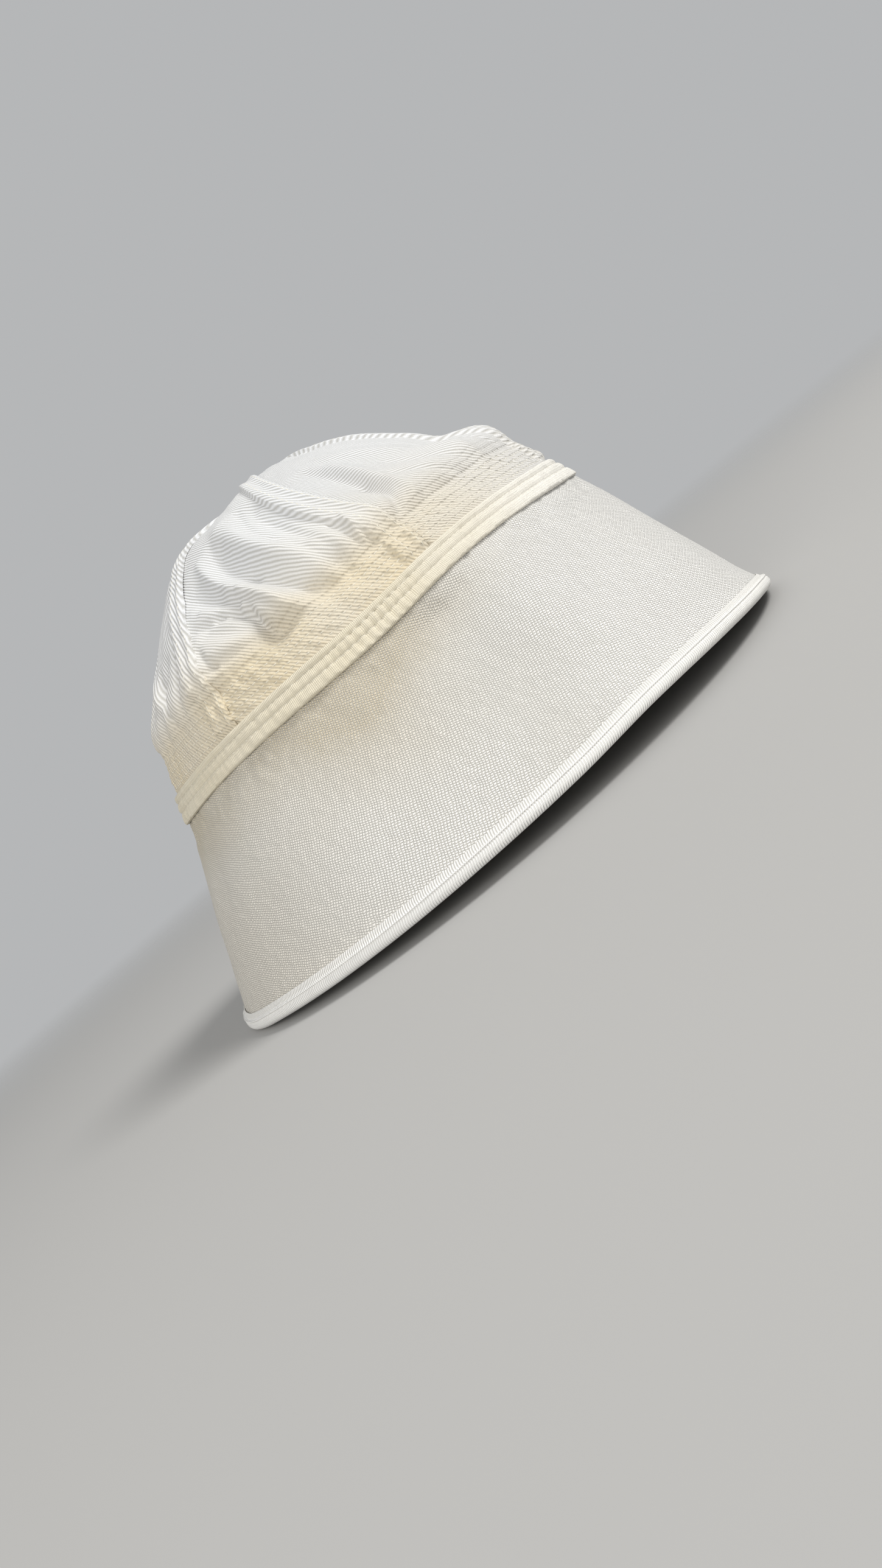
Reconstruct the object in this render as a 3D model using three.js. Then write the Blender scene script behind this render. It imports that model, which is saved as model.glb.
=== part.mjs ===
// A white cotton sailor cap with its brim turned down: a crown of six gores with lapped seams,
// a stitched tape round the crown's foot, a stiff flaring brim and a rolled binding on its edge.
// Millimetres. The cap stands on its binding at z = 0, with +Z up and its front towards +X.
import * as THREE from "three";

// Driving dimensions
const RIM_HALF_LENGTH = 134; // middle of the cap to the brim's edge in front, outside
const RIM_HALF_WIDTH = 115.9; // middle of the cap to the brim's edge at the side, outside
const CROWN_HALF_LENGTH = 101.5; // the crown's foot, front to back, outside
const CROWN_HALF_WIDTH = 82; // the crown's foot, side to side, outside
const CROWN_FORWARD = 0; // how far the crown's foot sits forward of the brim's middle
const CROWN_LEAN = 2.6; // degrees by which the crown leans back
const BRIM_HEIGHT = 80; // from the floor to the middle of the crown's foot
const CROWN_HEIGHT = 76.5; // from the crown's foot to the top
const RIM_ARCH = 9.6; // how far the brim's edge stands off the floor at most

// Cloths and trims
const CROWN_CLOTH = 1.2;
const BRIM_CLOTH = 2; // two plies, stitched together
const TAPE_WIDTH = 10.2;
const TAPE_CLOTH = 0.7;
const TAPE_RIDGE = 0.6; // how far the tape's three ridges stand out
const BINDING_WIDTH = 6.4;
const BINDING_CLOTH = 1;
const SEAM_WIDTH = 8.5; // the lap of one gore over the next
const SEAM_RAMP = 2.5; // where the cloth comes up to the lap or down from it
const PUFF_HEIGHT = 1.5; // the ring of loose cloth above the stitched foot band
const FOLD_DEPTH = 4.6; // the deepest fold
const DENT_DEPTH = 2.2; // the deepest dent in the brim
const APEX_HOLE = 1.5; // half the pinhole where the six gores meet
const CLEARANCE = 0.35; // between any two pieces

// How finely the pieces are faceted
const RING_STEPS = 72;
const GORE_STEPS = 7;

// The crown's upright sections. along: share of the way from the foot to the top.
// height: share of CROWN_HEIGHT. front, back, side: shares of the foot's half sizes.
const CROWN_SECTIONS = [
  { along: 0, height: 0, front: 1, back: 1, side: 1 },
  { along: 0.185, height: 0.28, front: 0.904, back: 0.92, side: 0.915 },
  { along: 0.277, height: 0.42, front: 0.85, back: 0.875, side: 0.868 },
  { along: 0.445, height: 0.62, front: 0.655, back: 0.731, side: 0.708 },
  { along: 0.634, height: 0.83, front: 0.468, back: 0.54, side: 0.522 },
  { along: 0.755, height: 0.93, front: 0.325, back: 0.432, side: 0.398 },
  { along: 0.861, height: 0.975, front: 0.22, back: 0.29, side: 0.265 },
  { along: 1, height: 1, front: 0, back: 0, side: 0 },
];

// The brim's upright sections. down: share of BRIM_HEIGHT below the crown's foot.
// front, back, side: shares of the way out from the crown's foot to the rim.
const BRIM_SECTIONS = [
  { down: 0, front: 0, back: 0, side: 0 },
  { down: 0.25, front: 0.26, back: 0.27, side: 0.25 },
  { down: 0.5, front: 0.5, back: 0.54, side: 0.5 },
  { down: 0.75, front: 0.74, back: 0.78, side: 0.74 },
  { down: 0.87, front: 0.855, back: 0.885, side: 0.86 },
  { down: 1, front: 1, back: 1, side: 1 },
];

// The foot line's rise and fall round the cap, as shares of BRIM_HEIGHT
const FOOT_WAVES = [
  { turns: 2, rise: -0.0264 },
  { turns: 3, rise: -0.0082 },
];

// Where the foot line sags below that or rides above it. angle: degrees round the cap.
// rise: share of BRIM_HEIGHT. wide: degrees.
const FOOT_SAGS = [
  { angle: -140, rise: 0.022, wide: 22 },
  { angle: -97, rise: -0.022, wide: 16 },
  { angle: -42, rise: -0.02, wide: 22 },
  { angle: 58, rise: -0.014, wide: 22 },
  { angle: 122, rise: 0.014, wide: 24 },
];

// The brim's edge stands on the floor in front and at the back, and arches at both sides.
// turn: degrees from the front. rise: share of RIM_ARCH.
const RIM_RISES = [
  { turn: 0, rise: 0 },
  { turn: 8, rise: 0 },
  { turn: 19, rise: 0.18 },
  { turn: 38, rise: 0.57 },
  { turn: 58, rise: 0.875 },
  { turn: 75, rise: 1 },
  { turn: 90, rise: 0.83 },
  { turn: 120, rise: 0.52 },
  { turn: 150, rise: 0.24 },
  { turn: 168, rise: 0 },
  { turn: 180, rise: 0 },
];

// The seams between the gores: where each starts at the foot and ends at the top, in degrees
// round the cap from the front
const SEAMS = [
  { foot: -135, top: -149 },
  { foot: -80.5, top: -91 },
  { foot: -22, top: -28 },
  { foot: 38, top: 35 },
  { foot: 98, top: 95 },
  { foot: 160, top: 154 },
];

// Folds of the crown, each a soft groove or ridge from one place to another.
// from and to: degrees round the cap and share of the way up. bow: how far its middle swings
// round, in degrees. depth: share of FOLD_DEPTH, inwards below zero. width: share of the
// crown's half length.
const FOLDS = [
  { from: [-121, 0.6], to: [-99, 0.2], bow: 0, depth: -1, width: 0.06 },
  { from: [-136, 0.56], to: [-113, 0.21], bow: 5, depth: -0.8, width: 0.05 },
  { from: [-131, 0.39], to: [-115, 0.26], bow: 0, depth: -0.7, width: 0.035 },
  { from: [-130, 0.265], to: [-106, 0.195], bow: 3, depth: -0.5, width: 0.03 },
  { from: [-101, 0.66], to: [-93.5, 0.4], bow: 0, depth: -0.6, width: 0.04 },
  { from: [-93, 0.32], to: [-92.5, 0.2], bow: 0, depth: -0.5, width: 0.035 },
  { from: [-78, 0.6], to: [-71, 0.29], bow: 0, depth: -0.5, width: 0.045 },
  { from: [-117, 0.69], to: [-94, 0.32], bow: 0, depth: 0.6, width: 0.05 },
  { from: [-119, 0.46], to: [-105.5, 0.22], bow: 2, depth: 0.75, width: 0.05 },
  { from: [-64, 0.62], to: [-46, 0.22], bow: 4, depth: 0.3, width: 0.04 },
  { from: [-50, 0.4], to: [4, 0.39], bow: 0, depth: -0.36, width: 0.05 },
  { from: [-48, 0.27], to: [8, 0.28], bow: 0, depth: 0.12, width: 0.05 },
  { from: [-60, 0.78], to: [-40, 0.76], bow: 0, depth: -0.25, width: 0.05 },
  { from: [-100, 0.84], to: [-62, 0.83], bow: 0, depth: 0.35, width: 0.07 },
  { from: [22, 0.5], to: [12, 0.22], bow: 3, depth: -0.55, width: 0.05 },
  { from: [62, 0.56], to: [75, 0.22], bow: -3, depth: -0.7, width: 0.05 },
  { from: [52, 0.4], to: [58, 0.2], bow: 0, depth: -0.45, width: 0.04 },
  { from: [68, 0.6], to: [84, 0.25], bow: -2, depth: 0.5, width: 0.05 },
  { from: [112, 0.6], to: [122, 0.22], bow: 3, depth: -0.75, width: 0.055 },
  { from: [138, 0.5], to: [136, 0.2], bow: -4, depth: -0.5, width: 0.045 },
  { from: [126, 0.46], to: [130, 0.24], bow: 2, depth: 0.5, width: 0.045 },
  { from: [178, 0.5], to: [190, 0.22], bow: 3, depth: -0.55, width: 0.05 },
  { from: [205, 0.42], to: [198, 0.2], bow: 0, depth: -0.4, width: 0.04 },
];

// Dents of the brim. angle: degrees round the cap. down: share of BRIM_HEIGHT below the
// crown's foot. depth: share of DENT_DEPTH, inwards below zero. wide: degrees. tall: share
// of BRIM_HEIGHT.
const DENTS = [
  { angle: -82, down: 0.45, depth: -1, wide: 15, tall: 0.5 },
  { angle: -118, down: 0.6, depth: 0.35, wide: 18, tall: 0.4 },
  { angle: -48, down: 0.6, depth: 0.4, wide: 14, tall: 0.4 },
  { angle: 70, down: 0.55, depth: -0.6, wide: 16, tall: 0.45 },
  { angle: 120, down: 0.5, depth: 0.4, wide: 16, tall: 0.4 },
  { angle: 172, down: 0.6, depth: -0.4, wide: 12, tall: 0.4 },
];

// The tape's cross-section. across: share of TAPE_WIDTH above the crown's foot.
// ridge: share of TAPE_RIDGE.
const TAPE_SECTION = [
  { across: 0, ridge: 0.5 },
  { across: 0.2, ridge: 1 },
  { across: 0.4, ridge: 0.1 },
  { across: 0.58, ridge: 1 },
  { across: 0.74, ridge: 0.1 },
  { across: 0.87, ridge: 1 },
  { across: 1, ridge: 0 },
];

// Where the gores' faceted rows lie above the tape, as shares of the way up
const GORE_ROWS = [0.205, 0.24, 0.29, 0.35, 0.42, 0.5, 0.58, 0.66, 0.74, 0.82, 0.9, 0.96];
// Where the brim's faceted rows lie, as shares of BRIM_HEIGHT below the crown's foot
const BRIM_ROWS = [0, 0.12, 0.25, 0.5, 0.75, 0.87];

const RADIANS = Math.PI / 180;
const CREASE_ALONG = 0.205; // the crease at the top of the stitched foot band
const PUFF_ALONG = 0.29;
const CALM_ALONG = 0.13; // folds fade out below this, towards the tape
const CLOTH_SLACK = 0.92; // the cloth's way from foot to top, over its straight line
const FOLD_END = 0.45; // how deep a fold still is at its two ends

function smooth(t) {
  const s = Math.min(Math.max(t, 0), 1);
  return s * s * (3 - 2 * s);
}

function bell(distance, width) {
  return Math.exp(-((distance / width) ** 2));
}

// A smooth curve through one column of a table.
function through(table, key, column, at) {
  const last = table.length - 1;
  let i = 0;
  while (i < last - 1 && at >= table[i + 1][key]) i += 1;
  const slope = (n) => {
    const before = table[Math.max(n - 1, 0)];
    const after = table[Math.min(n + 1, last)];
    return (after[column] - before[column]) / (after[key] - before[key]);
  };
  const span = table[i + 1][key] - table[i][key];
  const t = (at - table[i][key]) / span;
  return (
    (2 * t ** 3 - 3 * t ** 2 + 1) * table[i][column] +
    (t ** 3 - 2 * t ** 2 + t) * span * slope(i) +
    (3 * t ** 2 - 2 * t ** 3) * table[i + 1][column] +
    (t ** 3 - t ** 2) * span * slope(i + 1)
  );
}

// The share for one direction round the cap, mixed from the front or back and the side.
function sectionShare(table, key, at, turn) {
  const lengthwise = Math.cos(turn) ** 2;
  const end = through(table, key, Math.cos(turn) > 0 ? "front" : "back", at);
  return end * lengthwise + through(table, key, "side", at) * (1 - lengthwise);
}

// Degrees from one direction to another, the short way round.
function degreesFrom(turn, angle) {
  const away = turn / RADIANS - angle;
  return away - 360 * Math.round(away / 360);
}

function footRise(turn) {
  const waves = FOOT_WAVES.reduce((sum, w) => sum + w.rise * Math.cos(w.turns * turn), 0);
  const sags = FOOT_SAGS.reduce(
    (sum, sag) => sum + sag.rise * bell(degreesFrom(turn, sag.angle), sag.wide),
    0,
  );
  return BRIM_HEIGHT * (waves + sags);
}

// How far the brim's edge stands off the floor, alike on both sides.
function rimRise(turn) {
  const away = Math.abs(degreesFrom(turn, 0));
  return RIM_ARCH * Math.max(through(RIM_RISES, "turn", "rise", away), 0);
}

// The crown's outer surface without its folds.
function crownForm(turn, along) {
  const share = sectionShare(CROWN_SECTIONS, "along", along, turn);
  const height = through(CROWN_SECTIONS, "along", "height", along);
  const ahead = CROWN_HALF_LENGTH * share * Math.cos(turn);
  const above = CROWN_HEIGHT * height + footRise(turn) * (1 - height) ** 2;
  const lean = CROWN_LEAN * RADIANS;
  return new THREE.Vector3(
    CROWN_FORWARD + ahead * Math.cos(lean) - above * Math.sin(lean),
    CROWN_HALF_WIDTH * share * Math.sin(turn),
    BRIM_HEIGHT + ahead * Math.sin(lean) + above * Math.cos(lean),
  );
}

// The brim's outer surface without its dents, from the crown's foot to the rim.
function brimForm(turn, down) {
  const out = sectionShare(BRIM_SECTIONS, "down", down, turn);
  const foot = crownForm(turn, 0);
  return new THREE.Vector3(
    foot.x + (RIM_HALF_LENGTH * Math.cos(turn) - foot.x) * out,
    foot.y + (RIM_HALF_WIDTH * Math.sin(turn) - foot.y) * out,
    foot.z + (rimRise(turn) - foot.z) * down,
  );
}

// The way up or down a form and its outward normal, from small steps along it.
function frameOf(form, turn, share, outward) {
  const step = 1e-3;
  const here = form(turn, share);
  const round = form(turn + step, share).sub(form(turn - step, share));
  const rise = form(turn, share + step).sub(form(turn, share - step)).normalize();
  const normal = round.cross(rise).normalize().multiplyScalar(outward);
  return { here, rise, normal };
}

// A fold's relief at a place on the crown, by its distance from the fold's curved line.
function foldRelief(fold, turn, along) {
  const [startTurn, startAlong] = fold.from;
  const [endTurn, endAlong] = fold.to;
  const degrees = turn / RADIANS;
  const near = degrees + 360 * Math.round(((startTurn + endTurn) / 2 - degrees) / 360);
  const scale = CROWN_HALF_LENGTH * RADIANS * sectionShare(CROWN_SECTIONS, "along", along, turn);
  const climb = Math.hypot(CROWN_HALF_LENGTH, CROWN_HEIGHT) * CLOTH_SLACK;
  const runTurn = (endTurn - startTurn) * scale;
  const runAlong = (endAlong - startAlong) * climb;
  const run = Math.hypot(runTurn, runAlong);
  const atTurn = (near - startTurn) * scale;
  const atAlong = (along - startAlong) * climb;
  const t = (atTurn * runTurn + atAlong * runAlong) / run ** 2;
  const inside = Math.min(Math.max(t, 0), 1);
  const bend = fold.bow * scale * 4 * inside * (1 - inside);
  const aside = (atTurn * runAlong - atAlong * runTurn) / run - (bend * runAlong) / run;
  const beyond = (t - inside) * run;
  const width = fold.width * CROWN_HALF_LENGTH;
  const ends = FOLD_END + (1 - FOLD_END) * Math.sin(Math.PI * (0.12 + 0.76 * inside));
  return fold.depth * FOLD_DEPTH * ends * bell(Math.hypot(aside, beyond), width);
}

// How far the crown's cloth stands out from its form.
function crownRelief(turn, along) {
  const calm = smooth((along - CALM_ALONG) / (CREASE_ALONG - CALM_ALONG));
  const folds = FOLDS.reduce((sum, fold) => sum + foldRelief(fold, turn, along), 0);
  const unevenness = 0.75 + 0.25 * Math.sin(5 * turn + 0.8);
  const puff = bell(along - PUFF_ALONG, 0.055) - 0.6 * bell(along - CREASE_ALONG, 0.02);
  const summit = 1 - smooth((along - 0.86) / 0.12);
  return calm * (folds * summit + puff * PUFF_HEIGHT * unevenness);
}

function brimRelief(turn, down) {
  return DENTS.reduce((sum, dent) => {
    const round = bell(degreesFrom(turn, dent.angle), dent.wide);
    return sum + dent.depth * DENT_DEPTH * round * bell(down - dent.down, dent.tall / 2);
  }, 0);
}

// A place on the crown, offset outwards from its cloth.
function crownPoint(turn, along, offset) {
  const { here, normal } = frameOf(crownForm, turn, along, 1);
  return here.addScaledVector(normal, offset + crownRelief(turn, along));
}

// A place on the brim, offset outwards from its cloth.
function brimPoint(turn, down, offset) {
  const { here, normal } = frameOf(brimForm, turn, down, -1);
  const fade = smooth(down / 0.1) * smooth((1 - down) / 0.25);
  return here.addScaledVector(normal, offset + brimRelief(turn, down) * fade);
}

// A place by the brim's edge, on its slope carried on to a height above the edge's arch.
function rimPoint(turn, offset, height) {
  const { here, rise, normal } = frameOf(brimForm, turn, 1, -1);
  here.addScaledVector(normal, offset);
  return here.addScaledVector(rise, (height + rimRise(turn) - here.z) / rise.z);
}

// The share of the way up the crown at a height above its foot, near the foot.
function alongAt(height) {
  const first = CROWN_SECTIONS[1];
  return (height * first.along) / (first.height * CROWN_HEIGHT);
}

// A closed ring whose cross-section is a closed loop of points, the same number all round.
function closedRing(section) {
  const positions = [];
  const faces = [];
  let count = 0;
  for (let i = 0; i < RING_STEPS; i += 1) {
    const loop = section((2 * Math.PI * i) / RING_STEPS);
    count = loop.length;
    for (const point of loop) positions.push(point.x, point.y, point.z);
  }
  for (let i = 0; i < RING_STEPS; i += 1) {
    for (let j = 0; j < count; j += 1) {
      const a = i * count + j;
      const b = i * count + ((j + 1) % count);
      const c = ((i + 1) % RING_STEPS) * count + ((j + 1) % count);
      const d = ((i + 1) % RING_STEPS) * count + j;
      faces.push(a, b, c, a, c, d);
    }
  }
  return indexed(positions, faces);
}

// A closed sheet of cloth from a grid of outer points and the matching grid of inner points.
function closedSheet(columns, rows, outer, inner) {
  const positions = [];
  const faces = [];
  const quad = (a, b, c, d) => faces.push(a, b, c, a, c, d);
  for (const side of [outer, inner]) {
    for (let i = 0; i <= columns; i += 1) {
      for (let j = 0; j <= rows; j += 1) {
        const point = side(i, j);
        positions.push(point.x, point.y, point.z);
      }
    }
  }
  const under = (columns + 1) * (rows + 1);
  const at = (i, j) => i * (rows + 1) + j;
  for (let i = 0; i < columns; i += 1) {
    for (let j = 0; j < rows; j += 1) {
      quad(at(i, j), at(i + 1, j), at(i + 1, j + 1), at(i, j + 1));
      quad(under + at(i, j), under + at(i, j + 1), under + at(i + 1, j + 1), under + at(i + 1, j));
    }
  }
  for (let i = 0; i < columns; i += 1) {
    quad(at(i, 0), under + at(i, 0), under + at(i + 1, 0), at(i + 1, 0));
    quad(at(i + 1, rows), under + at(i + 1, rows), under + at(i, rows), at(i, rows));
  }
  for (let j = 0; j < rows; j += 1) {
    quad(at(0, j + 1), under + at(0, j + 1), under + at(0, j), at(0, j));
    quad(at(columns, j), under + at(columns, j), under + at(columns, j + 1), at(columns, j + 1));
  }
  return indexed(positions, faces);
}

function indexed(positions, faces) {
  const geometry = new THREE.BufferGeometry();
  geometry.setAttribute("position", new THREE.Float32BufferAttribute(positions, 3));
  geometry.setIndex(faces);
  geometry.computeVertexNormals();
  return geometry;
}

// Where a seam lies at a share of the way up, in radians round the cap.
function seamTurn(number, along) {
  const seam = SEAMS[number % SEAMS.length];
  const lean = smooth((along - 0.15) / 0.6);
  const degrees = seam.foot + (seam.top - seam.foot) * lean;
  return (degrees + 360 * Math.floor(number / SEAMS.length)) * RADIANS;
}

// Half the seam's lap as an angle: narrower than half its width only close to the top.
function halfLap(turn, along, width) {
  const share = sectionShare(CROWN_SECTIONS, "along", along, turn);
  const radius = share * Math.hypot(
    CROWN_HALF_LENGTH * Math.sin(turn),
    CROWN_HALF_WIDTH * Math.cos(turn),
  );
  const widest = Math.PI / SEAMS.length / 4;
  return widest * Math.tanh(width / 2 / (radius * widest));
}

// The columns of one gore at a share of the way up: a tongue that lies under the neighbour,
// the open cloth, and a lap that lies over the next gore's tongue.
function goreColumns(number, along) {
  const start = seamTurn(number, along);
  const end = seamTurn(number + 1, along);
  const tongue = halfLap(start, along, SEAM_WIDTH);
  const tongueRamp = halfLap(start, along, SEAM_WIDTH + 2 * SEAM_RAMP);
  const lap = halfLap(end, along, SEAM_WIDTH);
  const lapEdge = halfLap(end, along, SEAM_WIDTH + 4 * CLEARANCE);
  const lapRamp = halfLap(end, along, SEAM_WIDTH + 4 * CLEARANCE + 2 * SEAM_RAMP);
  // Above the tape the lap rises over the tongue; under the tape the tongue is pressed in.
  const step = CROWN_CLOTH + CLEARANCE;
  const rise = step * smooth((along - alongAt(TAPE_WIDTH)) / 0.05);
  const columns = [
    { turn: start - tongue, offset: rise - step },
    { turn: start, offset: rise - step },
    { turn: start + tongue, offset: rise - step },
  ];
  const first = start + tongueRamp;
  const last = end - lapRamp;
  for (let i = 0; i <= GORE_STEPS; i += 1) {
    columns.push({ turn: first + ((last - first) * i) / GORE_STEPS, offset: 0 });
  }
  columns.push({ turn: end - lapEdge, offset: rise });
  columns.push({ turn: end, offset: rise });
  columns.push({ turn: end + lap, offset: rise });
  return columns;
}

function goreGeometry(number) {
  const buttEnd = alongAt(TAPE_WIDTH / 2 + CLEARANCE);
  const tapeTop = alongAt(TAPE_WIDTH);
  const nextToTop = CROWN_SECTIONS[CROWN_SECTIONS.length - 2];
  const top = 1 - ((1 - nextToTop.along) * APEX_HOLE) / (nextToTop.side * CROWN_HALF_WIDTH);
  const alongs = [buttEnd, tapeTop, (tapeTop + CREASE_ALONG) / 2, ...GORE_ROWS, top];
  const grid = alongs.map((along) => goreColumns(number, along));
  const place = (depth) => (i, j) => {
    const column = grid[j][i];
    return crownPoint(column.turn, alongs[j], column.offset - depth);
  };
  return closedSheet(grid[0].length - 1, alongs.length - 1, place(0), place(CROWN_CLOTH));
}

function brimGeometry() {
  const downs = [...BRIM_ROWS, bindingTop()];
  const alongs = [alongAt(TAPE_WIDTH / 2), alongAt(TAPE_WIDTH / 4)];
  const height = BINDING_CLOTH + CLEARANCE;
  const side = (turn, depth) => [
    ...alongs.map((along) => crownPoint(turn, along, -depth)),
    ...downs.map((down) => brimPoint(turn, down, -depth)),
    rimPoint(turn, -depth, height),
  ];
  return closedRing((turn) => [...side(turn, 0).reverse(), ...side(turn, BRIM_CLOTH)].reverse());
}

function tapeGeometry() {
  return closedRing((turn) => {
    const along = (row) => alongAt(row.across * TAPE_WIDTH);
    const outside = TAPE_SECTION.map((row) =>
      crownPoint(turn, along(row), CLEARANCE + TAPE_CLOTH + row.ridge * TAPE_RIDGE),
    );
    const backing = [TAPE_SECTION[6], TAPE_SECTION[3], TAPE_SECTION[0]];
    const inside = backing.map((row) => crownPoint(turn, along(row), CLEARANCE));
    return [...outside, ...inside].reverse();
  });
}

// How far down the brim the binding starts, as a share of the brim's height.
function bindingTop() {
  return 1 - BINDING_WIDTH / BRIM_HEIGHT;
}

// The binding: a channel round the brim's edge, with its flat underside on the floor.
function bindingGeometry() {
  const legTop = bindingTop();
  const near = CLEARANCE;
  const far = CLEARANCE + BINDING_CLOTH;
  return closedRing((turn) => [
    brimPoint(turn, legTop, near),
    brimPoint(turn, legTop, far),
    rimPoint(turn, far, BINDING_CLOTH),
    rimPoint(turn, near, 0),
    rimPoint(turn, -BRIM_CLOTH - near, 0),
    rimPoint(turn, -BRIM_CLOTH - far, BINDING_CLOTH),
    brimPoint(turn, legTop, -BRIM_CLOTH - far),
    brimPoint(turn, legTop, -BRIM_CLOTH - near),
    rimPoint(turn, -BRIM_CLOTH - near, BINDING_CLOTH),
    rimPoint(turn, near, BINDING_CLOTH),
  ]);
}

function cloth(colour, roughness) {
  return new THREE.MeshStandardMaterial({ color: colour, roughness, metalness: 0 });
}

const CROWN_WHITE = cloth(0xe9e8e4, 0.92);
const BRIM_WHITE = cloth(0xe4e1da, 0.95);
const TAPE_CREAM = cloth(0xebe3c6, 0.88);
const BINDING_WHITE = cloth(0xefeee9, 0.9);

function piece(name, geometry, material) {
  const mesh = new THREE.Mesh(geometry, material);
  mesh.name = name;
  return mesh;
}

const cap = new THREE.Group();
cap.add(piece("brim", brimGeometry(), BRIM_WHITE));
cap.add(piece("rim_binding", bindingGeometry(), BINDING_WHITE));
cap.add(piece("seam_tape", tapeGeometry(), TAPE_CREAM));
SEAMS.forEach((_, number) => {
  cap.add(piece(`crown_gore_${number + 1}`, goreGeometry(number), CROWN_WHITE));
});

export default cap;
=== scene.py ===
import math

import bpy
import numpy as np
from mathutils import Matrix


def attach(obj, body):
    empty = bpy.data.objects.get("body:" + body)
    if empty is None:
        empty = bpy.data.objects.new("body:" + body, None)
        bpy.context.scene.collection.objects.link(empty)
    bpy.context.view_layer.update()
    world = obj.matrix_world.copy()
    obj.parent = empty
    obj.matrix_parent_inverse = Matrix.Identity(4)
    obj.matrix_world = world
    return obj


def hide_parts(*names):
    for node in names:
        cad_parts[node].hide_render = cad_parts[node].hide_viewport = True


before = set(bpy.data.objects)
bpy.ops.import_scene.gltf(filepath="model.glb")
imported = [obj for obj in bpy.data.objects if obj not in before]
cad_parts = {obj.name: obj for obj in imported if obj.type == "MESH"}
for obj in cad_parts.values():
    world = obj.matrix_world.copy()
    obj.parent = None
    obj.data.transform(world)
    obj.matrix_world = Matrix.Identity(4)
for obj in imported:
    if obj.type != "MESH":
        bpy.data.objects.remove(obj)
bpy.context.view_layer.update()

bl_info = {
    "name": "Sailor cap",
    "version": (1, 0, 0),
    "blender": (4, 5, 0),
    "location": "3D View > Sidebar > Cap",
    "description": "Makes a white cotton sailor cap with a gored crown and a turned-down brim",
    "category": "Add Mesh",
}

BODY = "root"
MM = 0.001


def table(columns, rows):
    """A table's rows, each with its values under the names of the columns."""
    return [dict(zip(columns.split(), row)) for row in rows]


# The crown's upright sections. along: share of the way from the foot to the top.
# height: share of the crown's height. front, back, side: shares of the foot's half sizes.
CROWN_SECTIONS = table("along height front back side", [
    (0, 0, 1, 1, 1),
    (0.185, 0.28, 0.904, 0.92, 0.915),
    (0.277, 0.42, 0.85, 0.875, 0.868),
    (0.445, 0.62, 0.655, 0.731, 0.708),
    (0.634, 0.83, 0.468, 0.54, 0.522),
    (0.755, 0.93, 0.325, 0.432, 0.398),
    (0.861, 0.975, 0.22, 0.29, 0.265),
    (1, 1, 0, 0, 0),
])

# The brim's upright sections. down: share of the brim's height below the crown's foot.
# front, back, side: shares of the way out from the crown's foot to the rim.
BRIM_SECTIONS = table("down front back side", [
    (0, 0, 0, 0),
    (0.25, 0.26, 0.27, 0.25),
    (0.5, 0.5, 0.54, 0.5),
    (0.75, 0.74, 0.78, 0.74),
    (0.87, 0.855, 0.885, 0.86),
    (1, 1, 1, 1),
])

# The foot line's rise and fall round the cap, as shares of the brim's height
FOOT_WAVES = table("turns rise", [
    (2, -0.0264),
    (3, -0.0082),
])

# Where the foot line sags below that or rides up above it. angle: degrees round the cap.
# rise: share of the brim's height. wide: degrees.
FOOT_SAGS = table("angle rise wide", [
    (-140, 0.022, 22),
    (-97, -0.022, 16),
    (-42, -0.02, 22),
    (58, -0.014, 22),
    (122, 0.014, 24),
])

# The brim's edge stands on the floor in front and at the back, and arches at both sides.
# turn: degrees from the front. rise: share of the rim's arch.
RIM_RISES = table("turn rise", [
    (0, 0),
    (8, 0),
    (19, 0.18),
    (38, 0.57),
    (58, 0.875),
    (75, 1),
    (90, 0.83),
    (120, 0.52),
    (150, 0.24),
    (168, 0),
    (180, 0),
])

# The seams between the gores, in degrees round the cap from the front
SEAMS = table("foot top", [
    (-135, -149),
    (-80.5, -91),
    (-22, -28),
    (38, 35),
    (98, 95),
    (160, 154),
])

# Folds of the crown, each a soft groove or ridge from one place to another.
# start and end: degrees round the cap and share of the way up. bow: how far its middle
# swings round, in degrees. depth: share of the deepest fold, inwards below zero.
# width: share of the crown's half length.
FOLDS = table("start end bow depth width", [
    ((-121, 0.6), (-99, 0.2), 0, -1, 0.06),
    ((-136, 0.56), (-113, 0.21), 5, -0.8, 0.05),
    ((-131, 0.39), (-115, 0.26), 0, -0.7, 0.035),
    ((-130, 0.265), (-106, 0.195), 3, -0.5, 0.03),
    ((-101, 0.66), (-93.5, 0.4), 0, -0.6, 0.04),
    ((-93, 0.32), (-92.5, 0.2), 0, -0.5, 0.035),
    ((-78, 0.6), (-71, 0.29), 0, -0.5, 0.045),
    ((-117, 0.69), (-94, 0.32), 0, 0.6, 0.05),
    ((-119, 0.46), (-105.5, 0.22), 2, 0.75, 0.05),
    ((-64, 0.62), (-46, 0.22), 4, 0.3, 0.04),
    ((-50, 0.4), (4, 0.39), 0, -0.36, 0.05),
    ((-48, 0.27), (8, 0.28), 0, 0.12, 0.05),
    ((-60, 0.78), (-40, 0.76), 0, -0.25, 0.05),
    ((-100, 0.84), (-62, 0.83), 0, 0.35, 0.07),
    ((22, 0.5), (12, 0.22), 3, -0.55, 0.05),
    ((62, 0.56), (75, 0.22), -3, -0.7, 0.05),
    ((52, 0.4), (58, 0.2), 0, -0.45, 0.04),
    ((68, 0.6), (84, 0.25), -2, 0.5, 0.05),
    ((112, 0.6), (122, 0.22), 3, -0.75, 0.055),
    ((138, 0.5), (136, 0.2), -4, -0.5, 0.045),
    ((126, 0.46), (130, 0.24), 2, 0.5, 0.045),
    ((178, 0.5), (190, 0.22), 3, -0.55, 0.05),
    ((205, 0.42), (198, 0.2), 0, -0.4, 0.04),
])

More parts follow.
